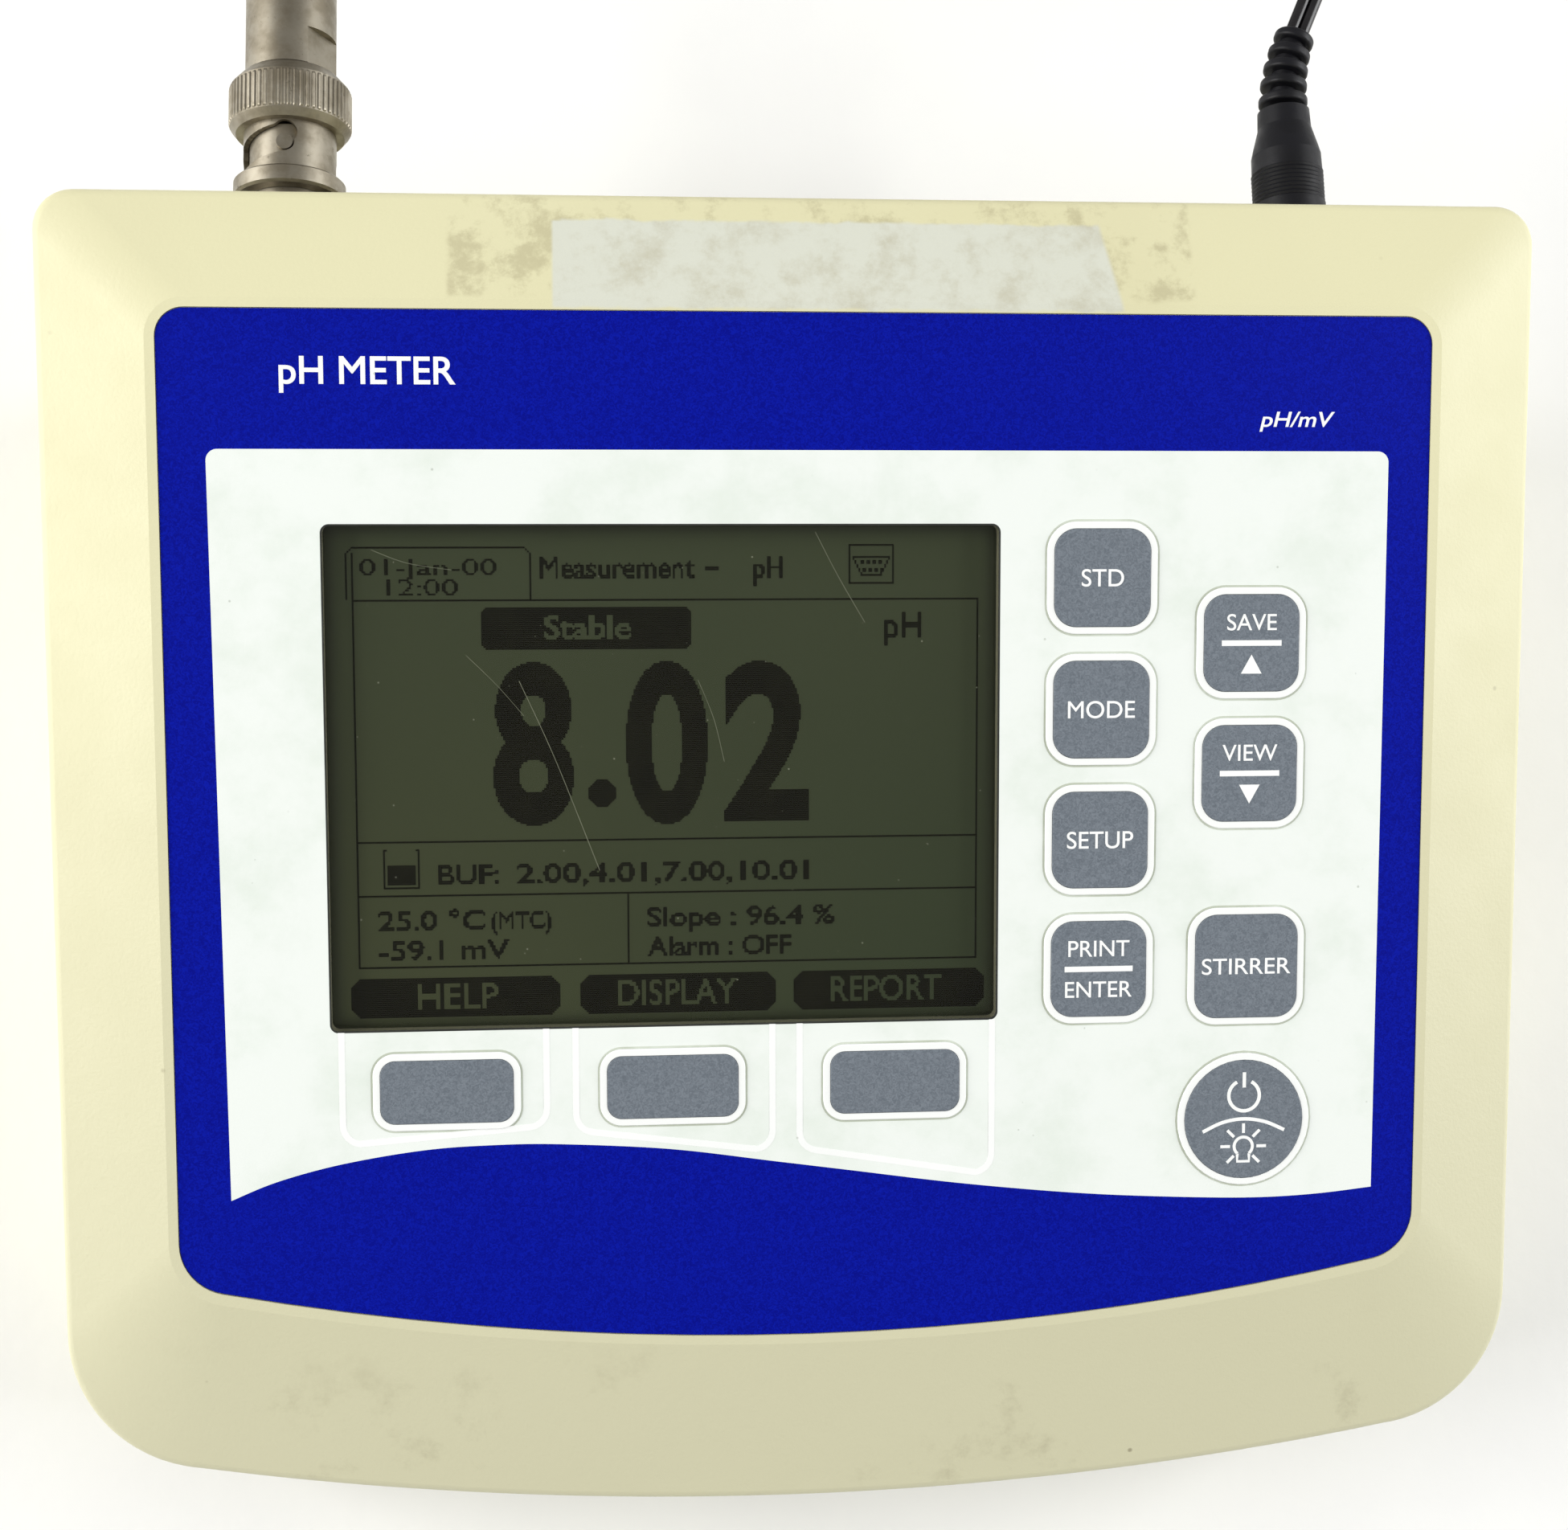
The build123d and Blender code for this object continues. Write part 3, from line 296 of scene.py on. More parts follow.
def case_material():
    """Aged cream plastic: a pale patch with residue beside it, specks, scuffs in front, and the seam."""
    s = Shader("case_plastic")
    u, v, n = s.face()
    colour = s.mix(s.ramp(s.noise(70, 3), 0.3, 0.7), srgb(226, 222, 182), srgb(217, 212, 172))
    # The case is darker and greyer towards the front.
    colour = s.mix(s.ramp(v, -90, 60), srgb(211, 208, 176), colour)
    ragged = s.math("ADD", v, s.math("MULTIPLY", s.noise(3, 4), 1.2))
    on_bezel = s.ramp(n, *BEZEL_LEVELS)
    residue = s.math("MULTIPLY", s.between(u, *RESIDUE[:2], 0.4), s.between(ragged, *RESIDUE[2:], 0.5))
    smudge = s.math("MULTIPLY", residue, s.ramp(s.noise(7, 6, 0.7), 0.46, 0.62))
    smudge = s.math("MULTIPLY", smudge, on_bezel)
    colour = s.mix(s.math("MULTIPLY", smudge, 0.55), colour, srgb(176, 168, 132))
    slant = s.math("ADD", u, s.math("MULTIPLY", v, PATCH_SLANT))
    patch = s.math("MULTIPLY", s.between(u, *PATCH[:2], 0.25), s.ramp(slant, *PATCH_END, 1.0, 0.0))
    patch = s.math("MULTIPLY", patch, s.between(ragged, *PATCH[2:], 0.25))
    patch = s.math("MULTIPLY", patch, on_bezel)
    pale = s.mix(s.ramp(s.noise(5, 5, 0.7), 0.42, 0.75), srgb(216, 218, 204), srgb(198, 196, 176))
    colour = s.mix(patch, colour, pale)
    speck = s.math("MULTIPLY", s.ramp(s.cells(9), 0.025, 0.05, 1.0, 0.0), s.ramp(s.noise(22), 0.5, 0.62))
    colour = s.mix(s.math("MULTIPLY", speck, 0.6), colour, srgb(120, 108, 80))
    scuff = s.math("MULTIPLY", s.ramp(s.noise(16, 7, 0.72), 0.56, 0.75), s.ramp(v, -60, -80))
    colour = s.mix(s.math("MULTIPLY", scuff, 0.4), colour, srgb(150, 142, 112))
    height = s.along((0, 0, 1), (0, 0, 0))
    seam = s.math("MULTIPLY", s.between(height, *SEAM, 0.06), 0.8)
    colour = s.mix(seam, colour, srgb(90, 84, 62))
    grain = s.bump(s.noise(0.45, 3, 0.6), 0.035)
    grain = s.bump(s.noise(2.4, 3), 0.03, grain)
    return s.finish(s.surface(colour, s.ramp(s.noise(9, 3), 0.2, 0.8, 0.42, 0.55), grain, specular=0.4))


def film_texture(s, depth=0.02):
    """The film's worm-like grain, as a value and as a bumped normal."""
    worms = s.noise(0.42, 2, 0.5, 1.6)
    return worms, s.bump(worms, depth)


def overlay_material():
    s = Shader("overlay_film")
    n = s.face()[2]
    worms, grain = film_texture(s)
    blue = s.mix(s.ramp(worms, 0.35, 0.68), srgb(0, 10, 136), srgb(3, 22, 162))
    white = srgb(247, 249, 247)
    colour = s.mix(s.ramp(n, FILM_TOP + 0.03, FILM_TOP + 0.06), blue, white)
    return s.finish(s.surface(colour, 0.5, grain, specular=0.08))


def ink_material(name, base, dull, roughness=0.45, share=(0.4, 0.75)):
    """A print: two close shades in clouds, with a few specks. share is where the clouds begin and end."""
    s = Shader(name)
    grain = film_texture(s, 0.012)[1]
    colour = s.mix(s.ramp(s.noise(13, 5, 0.65), *share), base, dull)
    speck = s.math("MULTIPLY", s.ramp(s.cells(3.2), 0.03, 0.06, 1.0, 0.0), s.ramp(s.noise(12), 0.5, 0.6))
    colour = s.mix(s.math("MULTIPLY", speck, 0.45), colour, srgb(150, 158, 140))
    return s.finish(s.surface(colour, roughness, grain, specular=0.35))


def key_material():
    s = Shader("key_film")
    worms, grain = film_texture(s)
    colour = s.mix(s.ramp(worms, 0.3, 0.7), srgb(100, 108, 117), srgb(122, 130, 139))
    return s.finish(s.surface(colour, 0.42, grain, specular=0.35))


def plain(
    name, base, dull, roughness, size=4.0, grain_mm=0.5, depth=0.01, metallic=0.0, worn=None, specular=0.5,
):
    """A material of two close shades with a fine grain, and worn places of a third colour."""
    s = Shader(name)
    colour = s.mix(s.ramp(s.noise(size, 4, 0.6), 0.35, 0.68), base, dull)
    if worn:
        colour = s.mix(s.ramp(s.noise(size / 3, 5, 0.7), 0.62, 0.72, 0.0, 0.7), colour, worn)
    rough = s.ramp(s.noise(size / 2, 3), 0.25, 0.75, roughness - 0.06, roughness + 0.08)
    grain = s.bump(s.noise(grain_mm, 3, 0.6), depth)
    return s.finish(s.surface(colour, rough, grain, metallic, specular))


def metal(name, base, dull, roughness, size, grain_mm=0.3, depth=0.004, worn=None):
    return plain(name, base, dull, roughness, size, grain_mm, depth, 1.0, worn)


def board_material():
    s = Shader("circuit_board")
    tracks = s.ramp(s.noise(2.0, 0.0, 0.5, 2.5), 0.5, 0.53)
    colour = s.mix(tracks, srgb(14, 82, 40), srgb(28, 112, 60))
    return s.finish(s.surface(colour, 0.3, s.bump(tracks, 0.02), specular=0.6))


def screen_material():
    """The display's glass: olive tones, with painted shade that darkens it outside the area of its dots,
    near the window's edges.
    """
    s = Shader("screen_glass")
    u, v = s.face()[:2]
    inside = s.math("MULTIPLY", s.between(u, -54.6, 21.3, 1.4), s.between(v, -27.4, 29.6, 1.4))
    colour = s.mix(s.ramp(u, -55, 22), srgb(80, 86, 58), srgb(66, 76, 52))
    colour = s.mix(s.ramp(v, -28, 30), colour, srgb(74, 82, 58))
    colour = s.mix(s.math("MULTIPLY", s.noise(26, 3), 0.25), colour, srgb(52, 58, 40))
    # Painted shade: the glass is darker outside the area of its dots, in a band near the window's edges.
    colour = s.mix(inside, srgb(54, 58, 42), colour)
    return s.finish(s.surface(colour, 0.22, s.bump(s.noise(0.3, 2), 0.002), specular=0.08))


def pane_material():
    """Clear plastic that shines at a slant, with scuffs that show as a faint haze."""
    s = Shader("window_plastic")
    scuffs = s.ramp(s.noise(1.1, 6, 0.8, 1.0), 0.66, 0.8)
    haze = s.add("ShaderNodeBsdfDiffuse")
    haze.inputs["Color"].default_value = srgb(225, 225, 205)
    gloss = s.add("ShaderNodeBsdfGlossy")
    gloss.inputs["Roughness"].default_value = 0.04
    clear = s.add("ShaderNodeBsdfTransparent")
    edge = s.add("ShaderNodeLayerWeight")
    edge.inputs["Blend"].default_value = 0.18
    shine = s.add("ShaderNodeMixShader")
    s.put(shine.inputs[0], s.ramp(edge.outputs["Fresnel"], 0.0, 1.0, 0.012, 0.7))
    s.put(shine.inputs[1], clear.outputs[0])
    s.put(shine.inputs[2], gloss.outputs[0])
    dust = s.add("ShaderNodeMixShader")
    s.put(dust.inputs[0], s.math("MULTIPLY", scuffs, 0.035))
    s.put(dust.inputs[1], shine.outputs[0])
    s.put(dust.inputs[2], haze.outputs[0])
    return s.finish(dust.outputs[0])


def floor_material():
    s = Shader("floor")
    colour = s.mix(s.ramp(s.noise(60, 4), 0.3, 0.7), srgb(250, 250, 249), srgb(244, 244, 244))
    return s.finish(s.surface(colour, 0.6, s.bump(s.noise(2.5, 4), 0.05), specular=0.2))


def make_materials():
    return {
        "case_plastic": case_material(),
        "panel_plastic": plain(
            "panel_plastic", srgb(222, 218, 184), srgb(212, 208, 172), 0.5, 30, 0.45, 0.03,
        ),
        "overlay_film": overlay_material(),
        "key_film": key_material(),
        "window_plastic": pane_material(),
        "screen_glass": screen_material(),
        "light_guide": plain("light_guide", srgb(226, 230, 214), srgb(214, 220, 200), 0.3),
        "circuit_board": board_material(),
        "chip_plastic": plain("chip_plastic", srgb(40, 40, 42), srgb(30, 30, 32), 0.5),
        "frame_steel": metal("frame_steel", srgb(176, 175, 170), srgb(150, 150, 146), 0.35, 6),
        "screw_steel": metal("screw_steel", srgb(165, 165, 160), srgb(130, 130, 126), 0.35, 2),
        "nickel": metal(
            "nickel", srgb(160, 153, 138), srgb(130, 122, 106), 0.42, 3.5, 0.35, worn=srgb(86, 77, 60),
        ),
        "contact_brass": metal(
            "contact_brass", srgb(216, 184, 110), srgb(190, 156, 84), 0.28, 2, depth=0.003,
        ),
        "white_insulator": plain("white_insulator", srgb(236, 236, 232), srgb(222, 222, 216), 0.4),
        "black_plastic": plain("black_plastic", srgb(38, 38, 40), srgb(30, 30, 33), 0.42, 8, 0.4, 0.02),
        "black_rubber": plain(
            "black_rubber", srgb(20, 20, 25), srgb(14, 14, 18), 0.45, 3, 0.3, 0.012, specular=0.25,
        ),
        "cord_jacket": plain("cord_jacket", srgb(17, 16, 18), srgb(24, 22, 25), 0.2, 5, 0.6, 0.004),
        "wire_jacket": plain("wire_jacket", srgb(150, 152, 156), srgb(132, 134, 140), 0.35),
        "label_paper": plain("label_paper", srgb(222, 222, 220), srgb(206, 206, 204), 0.4),
    }


def paint_nodes(materials):
    for part in frame["record"]["subparts"]:
        data = NODES[part["node"]].data
        data.materials.clear()
        data.materials.append(materials[part["material_slot"]])


# ---------------------------------------------------------------- flat print and shapes
def arc(u, v, radius, start, end, steps=12):
    """Points on an arc, its angles in degrees from +u."""
    angles = [math.radians(start + (end - start) * index / steps) for index in range(steps + 1)]
    return [(u + radius * math.cos(a), v + radius * math.sin(a)) for a in angles]


def rounded(u, v, width, height, radius):
    """The outline of a rectangle with rounded corners."""
    x, y = width / 2 - radius, height / 2 - radius
    corners = ((x, y, 0), (-x, y, 90), (-x, -y, 180), (x, -y, 270))
    return [p for cx, cy, a in corners for p in arc(u + cx, v + cy, radius, a, a + 90, 10)]


def ribbon(points, width):
    """The outline of a line of constant width drawn through the points."""
    left, right = [], []
    for index, point in enumerate(points):
        before = Vector(points[max(index - 1, 0)])
        after = Vector(points[min(index + 1, len(points) - 1)])
        way = (after - before).normalized()
        side = Vector((-way.y, way.x)) * width / 2
        left.append(tuple(Vector(point) + side))
        right.append(tuple(Vector(point) - side))
    return left + right[::-1]


def smooth(points, steps=8):
    """A curve through the points, as more points."""
    ends = [points[0], *points, points[-1]]
    made = []
    for a, b, c, d in zip(ends, ends[1:], ends[2:], ends[3:]):
        a, b, c, d = Vector(a), Vector(b), Vector(c), Vector(d)
        for index in range(steps):
            t = index / steps
            bend = (2 * a - 5 * b + 4 * c - d) * t * t
            twist = (3 * b - a - 3 * c + d) * t**3
            made.append(tuple((2 * b + (c - a) * t + bend + twist) / 2))
    return made + [tuple(points[-1])]


def shown(name, mesh, material, body, place=None):
    """A mesh as a piece of the scene that rides on a body."""
    piece = bpy.data.objects.new(name, mesh)
    bpy.context.scene.collection.objects.link(piece)
    if place is not None:
        mesh.transform(place)
    mesh.materials.clear()
    mesh.materials.append(material)
    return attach(piece, body)


def solid_from_curve(curve):
    """The mesh of a curve or text, made outside the scene's own pieces."""
    holder = bpy.data.objects.new("holder", curve)
    bpy.context.scene.collection.objects.link(holder)
    bpy.context.view_layer.update()
    mesh = bpy.data.meshes.new_from_object(holder.evaluated_get(bpy.context.evaluated_depsgraph_get()))
    bpy.data.objects.remove(holder)
    bpy.data.curves.remove(curve)
    return mesh


def flat(name, outlines, n, body, material, thick=INK):
    """Print on the face: closed outlines in mm, filled, with outlines inside others as holes."""
    curve = bpy.data.curves.new(name, "CURVE")
    curve.dimensions = "2D"
    curve.fill_mode = "BOTH"
    curve.extrude = thick / 2 * MM
    for outline in outlines:
        spline = curve.splines.new("POLY")
        spline.points.add(len(outline) - 1)
        for point, (u, v) in zip(spline.points, outline):
            point.co = (u * MM, v * MM, 0, 1)
        spline.use_cyclic_u = True
    place = FACE @ Matrix.Translation((0, 0, (n + thick / 2) * MM))
    return shown(name, solid_from_curve(curve), material, body, place)


def text_mesh(words, weight=0.0, thick=0.0, shear=0.0):
    """Plain lettering with capitals 1 high, from its lower left corner, and its length."""
    def raw(body):
        curve = bpy.data.curves.new("text", "FONT")
        curve.body = body
        curve.bevel_depth = weight
        curve.bevel_resolution = 1
        curve.extrude = thick
        curve.shear = shear
        return solid_from_curve(curve)

    def span(mesh, axis):
        values = [vertex.co[axis] for vertex in mesh.vertices]
        return min(values), max(values)

    capital = raw("H")
    low, high = span(capital, 1)
    bpy.data.meshes.remove(capital)
    mesh = raw(words)
    left = span(mesh, 0)[0]
    mesh.transform(Matrix.Scale(1 / (high - low), 4) @ Matrix.Translation((-left, -low, 0)))
    return mesh, span(mesh, 0)[1]


def legend(name, words, u, v, capital, n, body, material, weight=0.0, width=None, shear=0.0):
    """Lettering centred at u, v, its capitals of that height in mm, stretched to the width if given."""
    mesh, length = text_mesh(words, weight, LETTER_DEPTH, shear)
    stretch = 1.0 if width is None else width / (length * capital)
    scale = Matrix.Diagonal((capital * stretch * MM, capital * MM, MM, 1))
    left, low = u - length * capital * stretch / 2, v - capital / 2
    move = Matrix.Translation((left * MM, low * MM, (n + LETTER_DEPTH) * MM))
    return shown(name, mesh, material, body, FACE @ move @ scale)


def joined(name, pieces):
    """One piece from several."""
    whole = bmesh.new()
    for piece in pieces:
        whole.from_mesh(piece.data)
    mesh = pieces[0].data.copy()
    whole.to_mesh(mesh)
    whole.free()
    body = pieces[0]["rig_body"]
    for piece in pieces:
        bpy.data.objects.remove(piece)
    made = bpy.data.objects.new(name, mesh)
    bpy.context.scene.collection.objects.link(made)
    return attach(made, body)


# ---------------------------------------------------------------- the overlay's print
PANEL_LEFT, PANEL_RIGHT, PANEL_REAR, PANEL_CORNER = -68.1, 68.4, 38.8, 1.3
# The white panel's wavy front edge.
WAVE = [
    (-67.3, -47.4), (-62, -45.3), (-54.5, -43.4), (-45.1, -42.0), (-37, -41.6), (-29.2, -41.7),
    (-16.6, -42.6), (-4.2, -44.4), (4.6, -45.7), (17.5, -47.6), (30.5, -49.1), (41, -49.9), (52.6, -50.4),
    (60.8, -50.2), (68.2, -49.5),
]
# For each soft key's frame: left, right, and v of its two lower corners.
SOFT_FRAMES = ((-54.4, -30.9, -41.1, -39.6), (-27.5, -4.5, -40.4, -42.9), (-1.3, 21.6, -43.2, -46.4))
SOFT_FRAME_LINE = 0.75
SOFT_FRAME_CORNER = 2.2


def print_panel(white):
    rear = PANEL_REAR - PANEL_CORNER
    outline = arc(PANEL_RIGHT - PANEL_CORNER, rear, PANEL_CORNER, 0, 90)
    outline += arc(PANEL_LEFT + PANEL_CORNER, rear, PANEL_CORNER, 90, 180)
    outline += smooth(WAVE)
    gap = KEY_CLEARANCE
    holes = [rounded(u, v, w + gap, h + gap, r + gap / 2) for u, v, w, h, r in KEYS.values()]
    holes.append(rounded(*WINDOW, WINDOW_CORNER))
    flat("print_white_panel", [outline, *holes], FILM_TOP, "case", white)


def print_soft_frames(white):
    """The fine frame round each soft key, open towards the display, its lower edge along the wave."""
    shapes = []
    radius = SOFT_FRAME_CORNER
    top = WINDOW[1] - WINDOW[3] / 2 - 0.1
    for left, right, low_left, low_right in SOFT_FRAMES:
        line = [(left, top), (left, low_left + radius)]
        line += arc(left + radius, low_left + radius, radius, 180, 262, 6)
        line += arc(right - radius, low_right + radius, radius, 278, 360, 6)
        line += [(right, low_right + radius), (right, top)]
        shapes.append(ribbon(line, SOFT_FRAME_LINE))
    flat("print_soft_frames", shapes, FILM_TOP + INK, "case", white)


def print_key_edges(emboss_shade):
    """Painted shade: the faint line where the film dips round each embossed border."""
    shapes = []
    line = 0.25
    for u, v, width, height, radius in KEYS.values():
        for wider in (2 * KEY_BORDER + 2 * line, 2 * KEY_BORDER):
            shapes.append(rounded(u, v, width + wider, height + wider, radius + wider / 2))
    flat("print_key_edges", shapes, FILM_TOP + 0.5 * INK, "case", emboss_shade)


def print_window_line(dark):
    """Painted shadow in the gap between the window and the film round it."""
    u, v, width, height = WINDOW
    wider, narrower = 0.3, 0.1
    shapes = [
        rounded(u, v, width + wider, height + wider, WINDOW_CORNER + 0.2),
        rounded(u, v, width - narrower, height - narrower, WINDOW_CORNER),
    ]
    flat("window_gap_shadow", shapes, PANE_TOP + 0.01, "case", dark, 0.04)


def bar(u, v, width, height):
    """The outline of a rectangle with square corners."""
    x, y = width / 2, height / 2
    return [(u - x, v - y), (u + x, v - y), (u + x, v + y), (u - x, v + y)]


# Heights of capitals and widths of lines on the keys, in mm, and the angles of the bulb's rays.
CAPITAL, SMALL_CAPITAL = 2.0, 1.9
WORD_RISE = 2.45
DIVIDER_LINE = 0.66
SYMBOL_LINE, BULB_LINE = 0.42, 0.36
RAY_ANGLES = (0, 45, 90, 135, 180, 225, 315)


def print_legends(white):
    """The words and symbols on the keys, and the two titles on the film."""
    def on_key(key, words, dv, capital, width=None):
        u, v = KEYS[key][:2]
        name = f"legend_{key}_{words.lower()}"
        return legend(name, words, u, v + dv, capital, KEY_TOP, f"{key}_body", white, 0.004, width)

    def shape(key, name, outlines):
        return flat(name, outlines, KEY_TOP, f"{key}_body", white)

    on_key("key_standardise", "STD", 0, CAPITAL)
    on_key("key_mode", "MODE", 0, CAPITAL)
    on_key("key_setup", "SETUP", 0, CAPITAL)
    on_key("key_stirrer", "STIRRER", 0, SMALL_CAPITAL, 10.8)
    for key, words, length in (
        ("key_save", "SAVE", 7.2), ("key_view", "VIEW", 7.2), ("key_print", "PRINT", 8.2),
    ):
        u, v = KEYS[key][:2]
        pieces = [
            on_key(key, words, WORD_RISE, SMALL_CAPITAL),
            shape(key, "bar", [bar(u, v, length, DIVIDER_LINE)]),
        ]
        if key == "key_print":
            pieces.append(on_key(key, "ENTER", -WORD_RISE, SMALL_CAPITAL))
        else:
            tip, base = (-1.35, -3.6) if key == "key_save" else (-3.6, -1.35)
            pieces.append(shape(key, "arrow", [[(u - 1.25, v + base), (u + 1.25, v + base), (u, v + tip)]]))
        joined(f"legend_{key}", pieces)
    u, v = KEYS["key_power"][:2]
    shapes = [ribbon(arc(u, v + 2.9, 1.87, 118, 422, 40), SYMBOL_LINE), bar(u, v + 4.8, SYMBOL_LINE, 1.85)]
    divider = smooth([
        (u - 5.0, v - 1.45), (u - 2.6, v - 0.35), (u, v + 0.05), (u + 2.6, v - 0.35), (u + 5.0, v - 1.4),
    ])
    shapes.append(ribbon(divider, SYMBOL_LINE))
    bulb = v - 3.3
    side, top, low = 0.72, bulb - 0.9, bulb - 1.85
    shapes.append(ribbon([(u - side, top), (u - side, low), (u + side, low), (u + side, top)], BULB_LINE))
    shapes.append(ribbon(arc(u, bulb, 1.12, 232, -52, 30), BULB_LINE))
    centre = Vector((u, bulb))
    for angle in RAY_ANGLES:
        way = Vector((math.cos(math.radians(angle)), math.sin(math.radians(angle))))
        shapes.append(ribbon([tuple(centre + way * 1.62), tuple(centre + way * 2.8)], BULB_LINE))
    pieces = [shape("key_power", f"power_{index}", [outline]) for index, outline in enumerate(shapes)]
    joined("legend_key_power", pieces)
    title = legend("legend_title", "pH METER", -50.0, 47.6, 3.1, FILM_TOP, "case", white, 0.012)
    place = (57.3, 42.5, 1.75, FILM_TOP)
    range_words = legend("legend_range", "pH/mV", *place, "case", white, 0.012, width=9.0, shear=0.2)


# ---------------------------------------------------------------- the display's dots
# Pitch, top left corner on the face, counts, gap round a dot in pitches, and level over the glass.
DOT = 0.2334
DOT_LEFT, DOT_TOP = -53.5, 28.1
DOT_COLUMNS, DOT_ROWS = 320, 238
DOT_GAP = 0.03
DOT_LIFT, DOT_THICK = 0.015, 0.02


class Screen:
    """A grid of dots: lines, bars and lettering are drawn into it, and its dark dots become one mesh."""

    def __init__(self):
        self.dark = [[False] * DOT_COLUMNS for _ in range(DOT_ROWS)]

    def box(self, left, top, right, bottom, dark=True, cut=0):
        """A filled bar, its corners cut off by that many dots."""
        for row in range(top, bottom + 1):
            edge = max(0, cut - min(row - top, bottom - row))
            for column in range(left + edge, right + 1 - edge):
                if 0 <= row < DOT_ROWS and 0 <= column < DOT_COLUMNS:
                    self.dark[row][column] = dark

    def dot(self, column, row):
        self.box(column, row, column, row)

    def outline(self, left, top, right, bottom):
        self.box(left, top, right, top)
        self.box(left, bottom, right, bottom)
        self.box(left, top, left, bottom)
        self.box(right, top, right, bottom)

    def words(self, body, left, top, right, base, weight=0.02, dark=True):
        """Lettering that fills the width from left to right, its capitals from top to base."""
        mesh, length = text_mesh(body, weight)
        mesh.calc_loop_triangles()
        across, up = (right + 1 - left) / length, base + 1 - top
        points = [(left + vertex.co.x * across, base + 1 - vertex.co.y * up) for vertex in mesh.vertices]
        for triangle in mesh.loop_triangles:
            self.fill([points[index] for index in triangle.vertices], dark)
        bpy.data.meshes.remove(mesh)

    def fill(self, corners, dark):
        """Every dot whose centre lies in the triangle."""
        (x1, y1), (x2, y2), (x3, y3) = corners
        area = (x2 - x1) * (y3 - y1) - (x3 - x1) * (y2 - y1)
        if abs(area) < 1e-9:
            return
        rows = range(max(0, int(min(y1, y2, y3))), min(DOT_ROWS, int(max(y1, y2, y3)) + 1))
        columns = range(max(0, int(min(x1, x2, x3))), min(DOT_COLUMNS, int(max(x1, x2, x3)) + 1))
        for row in rows:
            for column in columns:
                x, y = column + 0.5, row + 0.5
                a = ((x2 - x1) * (y - y1) - (x - x1) * (y2 - y1)) / area
                b = ((x3 - x2) * (y - y2) - (x - x2) * (y3 - y2)) / area
                c = ((x1 - x3) * (y - y3) - (x - x3) * (y1 - y3)) / area
                if min(a, b, c) >= -1e-6:
                    self.dark[row][column] = dark

    def mesh(self):
        made = bmesh.new()
        for row, line in enumerate(self.dark):
            column = 0
            while column < DOT_COLUMNS:
                start = column
                while column < DOT_COLUMNS and line[column]:
                    column += 1
                if column > start:
                    self.run(made, row, start, column)
                column += 1
        mesh = bpy.data.meshes.new("screen_dots")
        made.to_mesh(mesh)
        made.free()
        return mesh

    def run(self, made, row, start, end):
        """One row's unbroken dark dots, as a flat block."""
        left, right = DOT_LEFT + (start + DOT_GAP) * DOT, DOT_LEFT + (end - DOT_GAP) * DOT
        top, low = DOT_TOP - (row + DOT_GAP) * DOT, DOT_TOP - (row + 1 - DOT_GAP) * DOT
        level = (GLASS_TOP + DOT_LIFT) * MM
        centre = Matrix.Translation(((left + right) / 2 * MM, (top + low) / 2 * MM, level))
        size = Matrix.Diagonal(((right - left) * MM, (top - low) * MM, DOT_THICK * MM, 1))
        bmesh.ops.create_cube(made, size=1, matrix=centre @ size)


# What the display shows, in dots right of and below its top left corner.
FRAME_LEFT, FRAME_TOP, FRAME_RIGHT, FRAME_LOW = 4, 27, 315, 210
BUFFER_TOP, TABLE_TOP, TABLE_MIDDLE = 147, 174, 138
TAB_LEFT, TAB_TOP, TAB_RIGHT, TAB_LOW, TAB_CUT = 1, 1, 91, 26, 3
READING_TOP, READING_LOW = 59, 138
BUTTON_TOP, BUTTON_LOW = 216, 235


def draw_frame(screen):
    """The frame with its dividing lines, and the tab above its left corner."""
    screen.outline(FRAME_LEFT, FRAME_TOP, FRAME_RIGHT, FRAME_LOW)
    screen.box(FRAME_LEFT, BUFFER_TOP, FRAME_RIGHT, BUFFER_TOP)
    screen.box(FRAME_LEFT, TABLE_TOP, FRAME_RIGHT, TABLE_TOP)
    screen.box(TABLE_MIDDLE, TABLE_TOP, TABLE_MIDDLE, FRAME_LOW)
    corner = TAB_TOP + TAB_CUT
    screen.box(TAB_LEFT, corner, TAB_LEFT, TAB_LOW)
    screen.box(TAB_LEFT + TAB_CUT, TAB_TOP, TAB_RIGHT - TAB_CUT, TAB_TOP)
    screen.box(TAB_RIGHT, corner, TAB_RIGHT, TAB_LOW)
    for step in range(TAB_CUT + 1):
        screen.dot(TAB_LEFT + step, corner - step)
        screen.dot(TAB_RIGHT - step, corner - step)
    screen.box(FRAME_LEFT, corner, FRAME_LEFT, TAB_LOW)


def draw_port_icon(screen):
    """A framed serial port: a tapering outline round two rows of contacts."""
    screen.outline(250, 0, 272, 19)
    left, top, right, low = 252, 6, 270, 15
    screen.box(left, top, right, top)
    for step in range(low - top):
        screen.dot(left + step // 2, top + step)
        screen.dot(right - step // 2, top + step)
    screen.box(left + 4, low, right - 4, low)
    for column in range(256, 268, 3):
        screen.box(column, 8, column + 1, 9)
        screen.box(column + 1, 12, column + 2, 13)


def draw_header(screen):
    """The date and time in the tab, the name of what is shown, its unit and the port's icon."""
    screen.words("01-Jan-00", 8, 7, 74, 14, 0.0)
    screen.words("12:00", 21, 17, 55, 24, 0.0)
    screen.words("Measurement", 96, 6, 172, 16)
    screen.box(178, 11, 184, 12)
    screen.words("pH", 202, 6, 216, 16)
    draw_port_icon(screen)


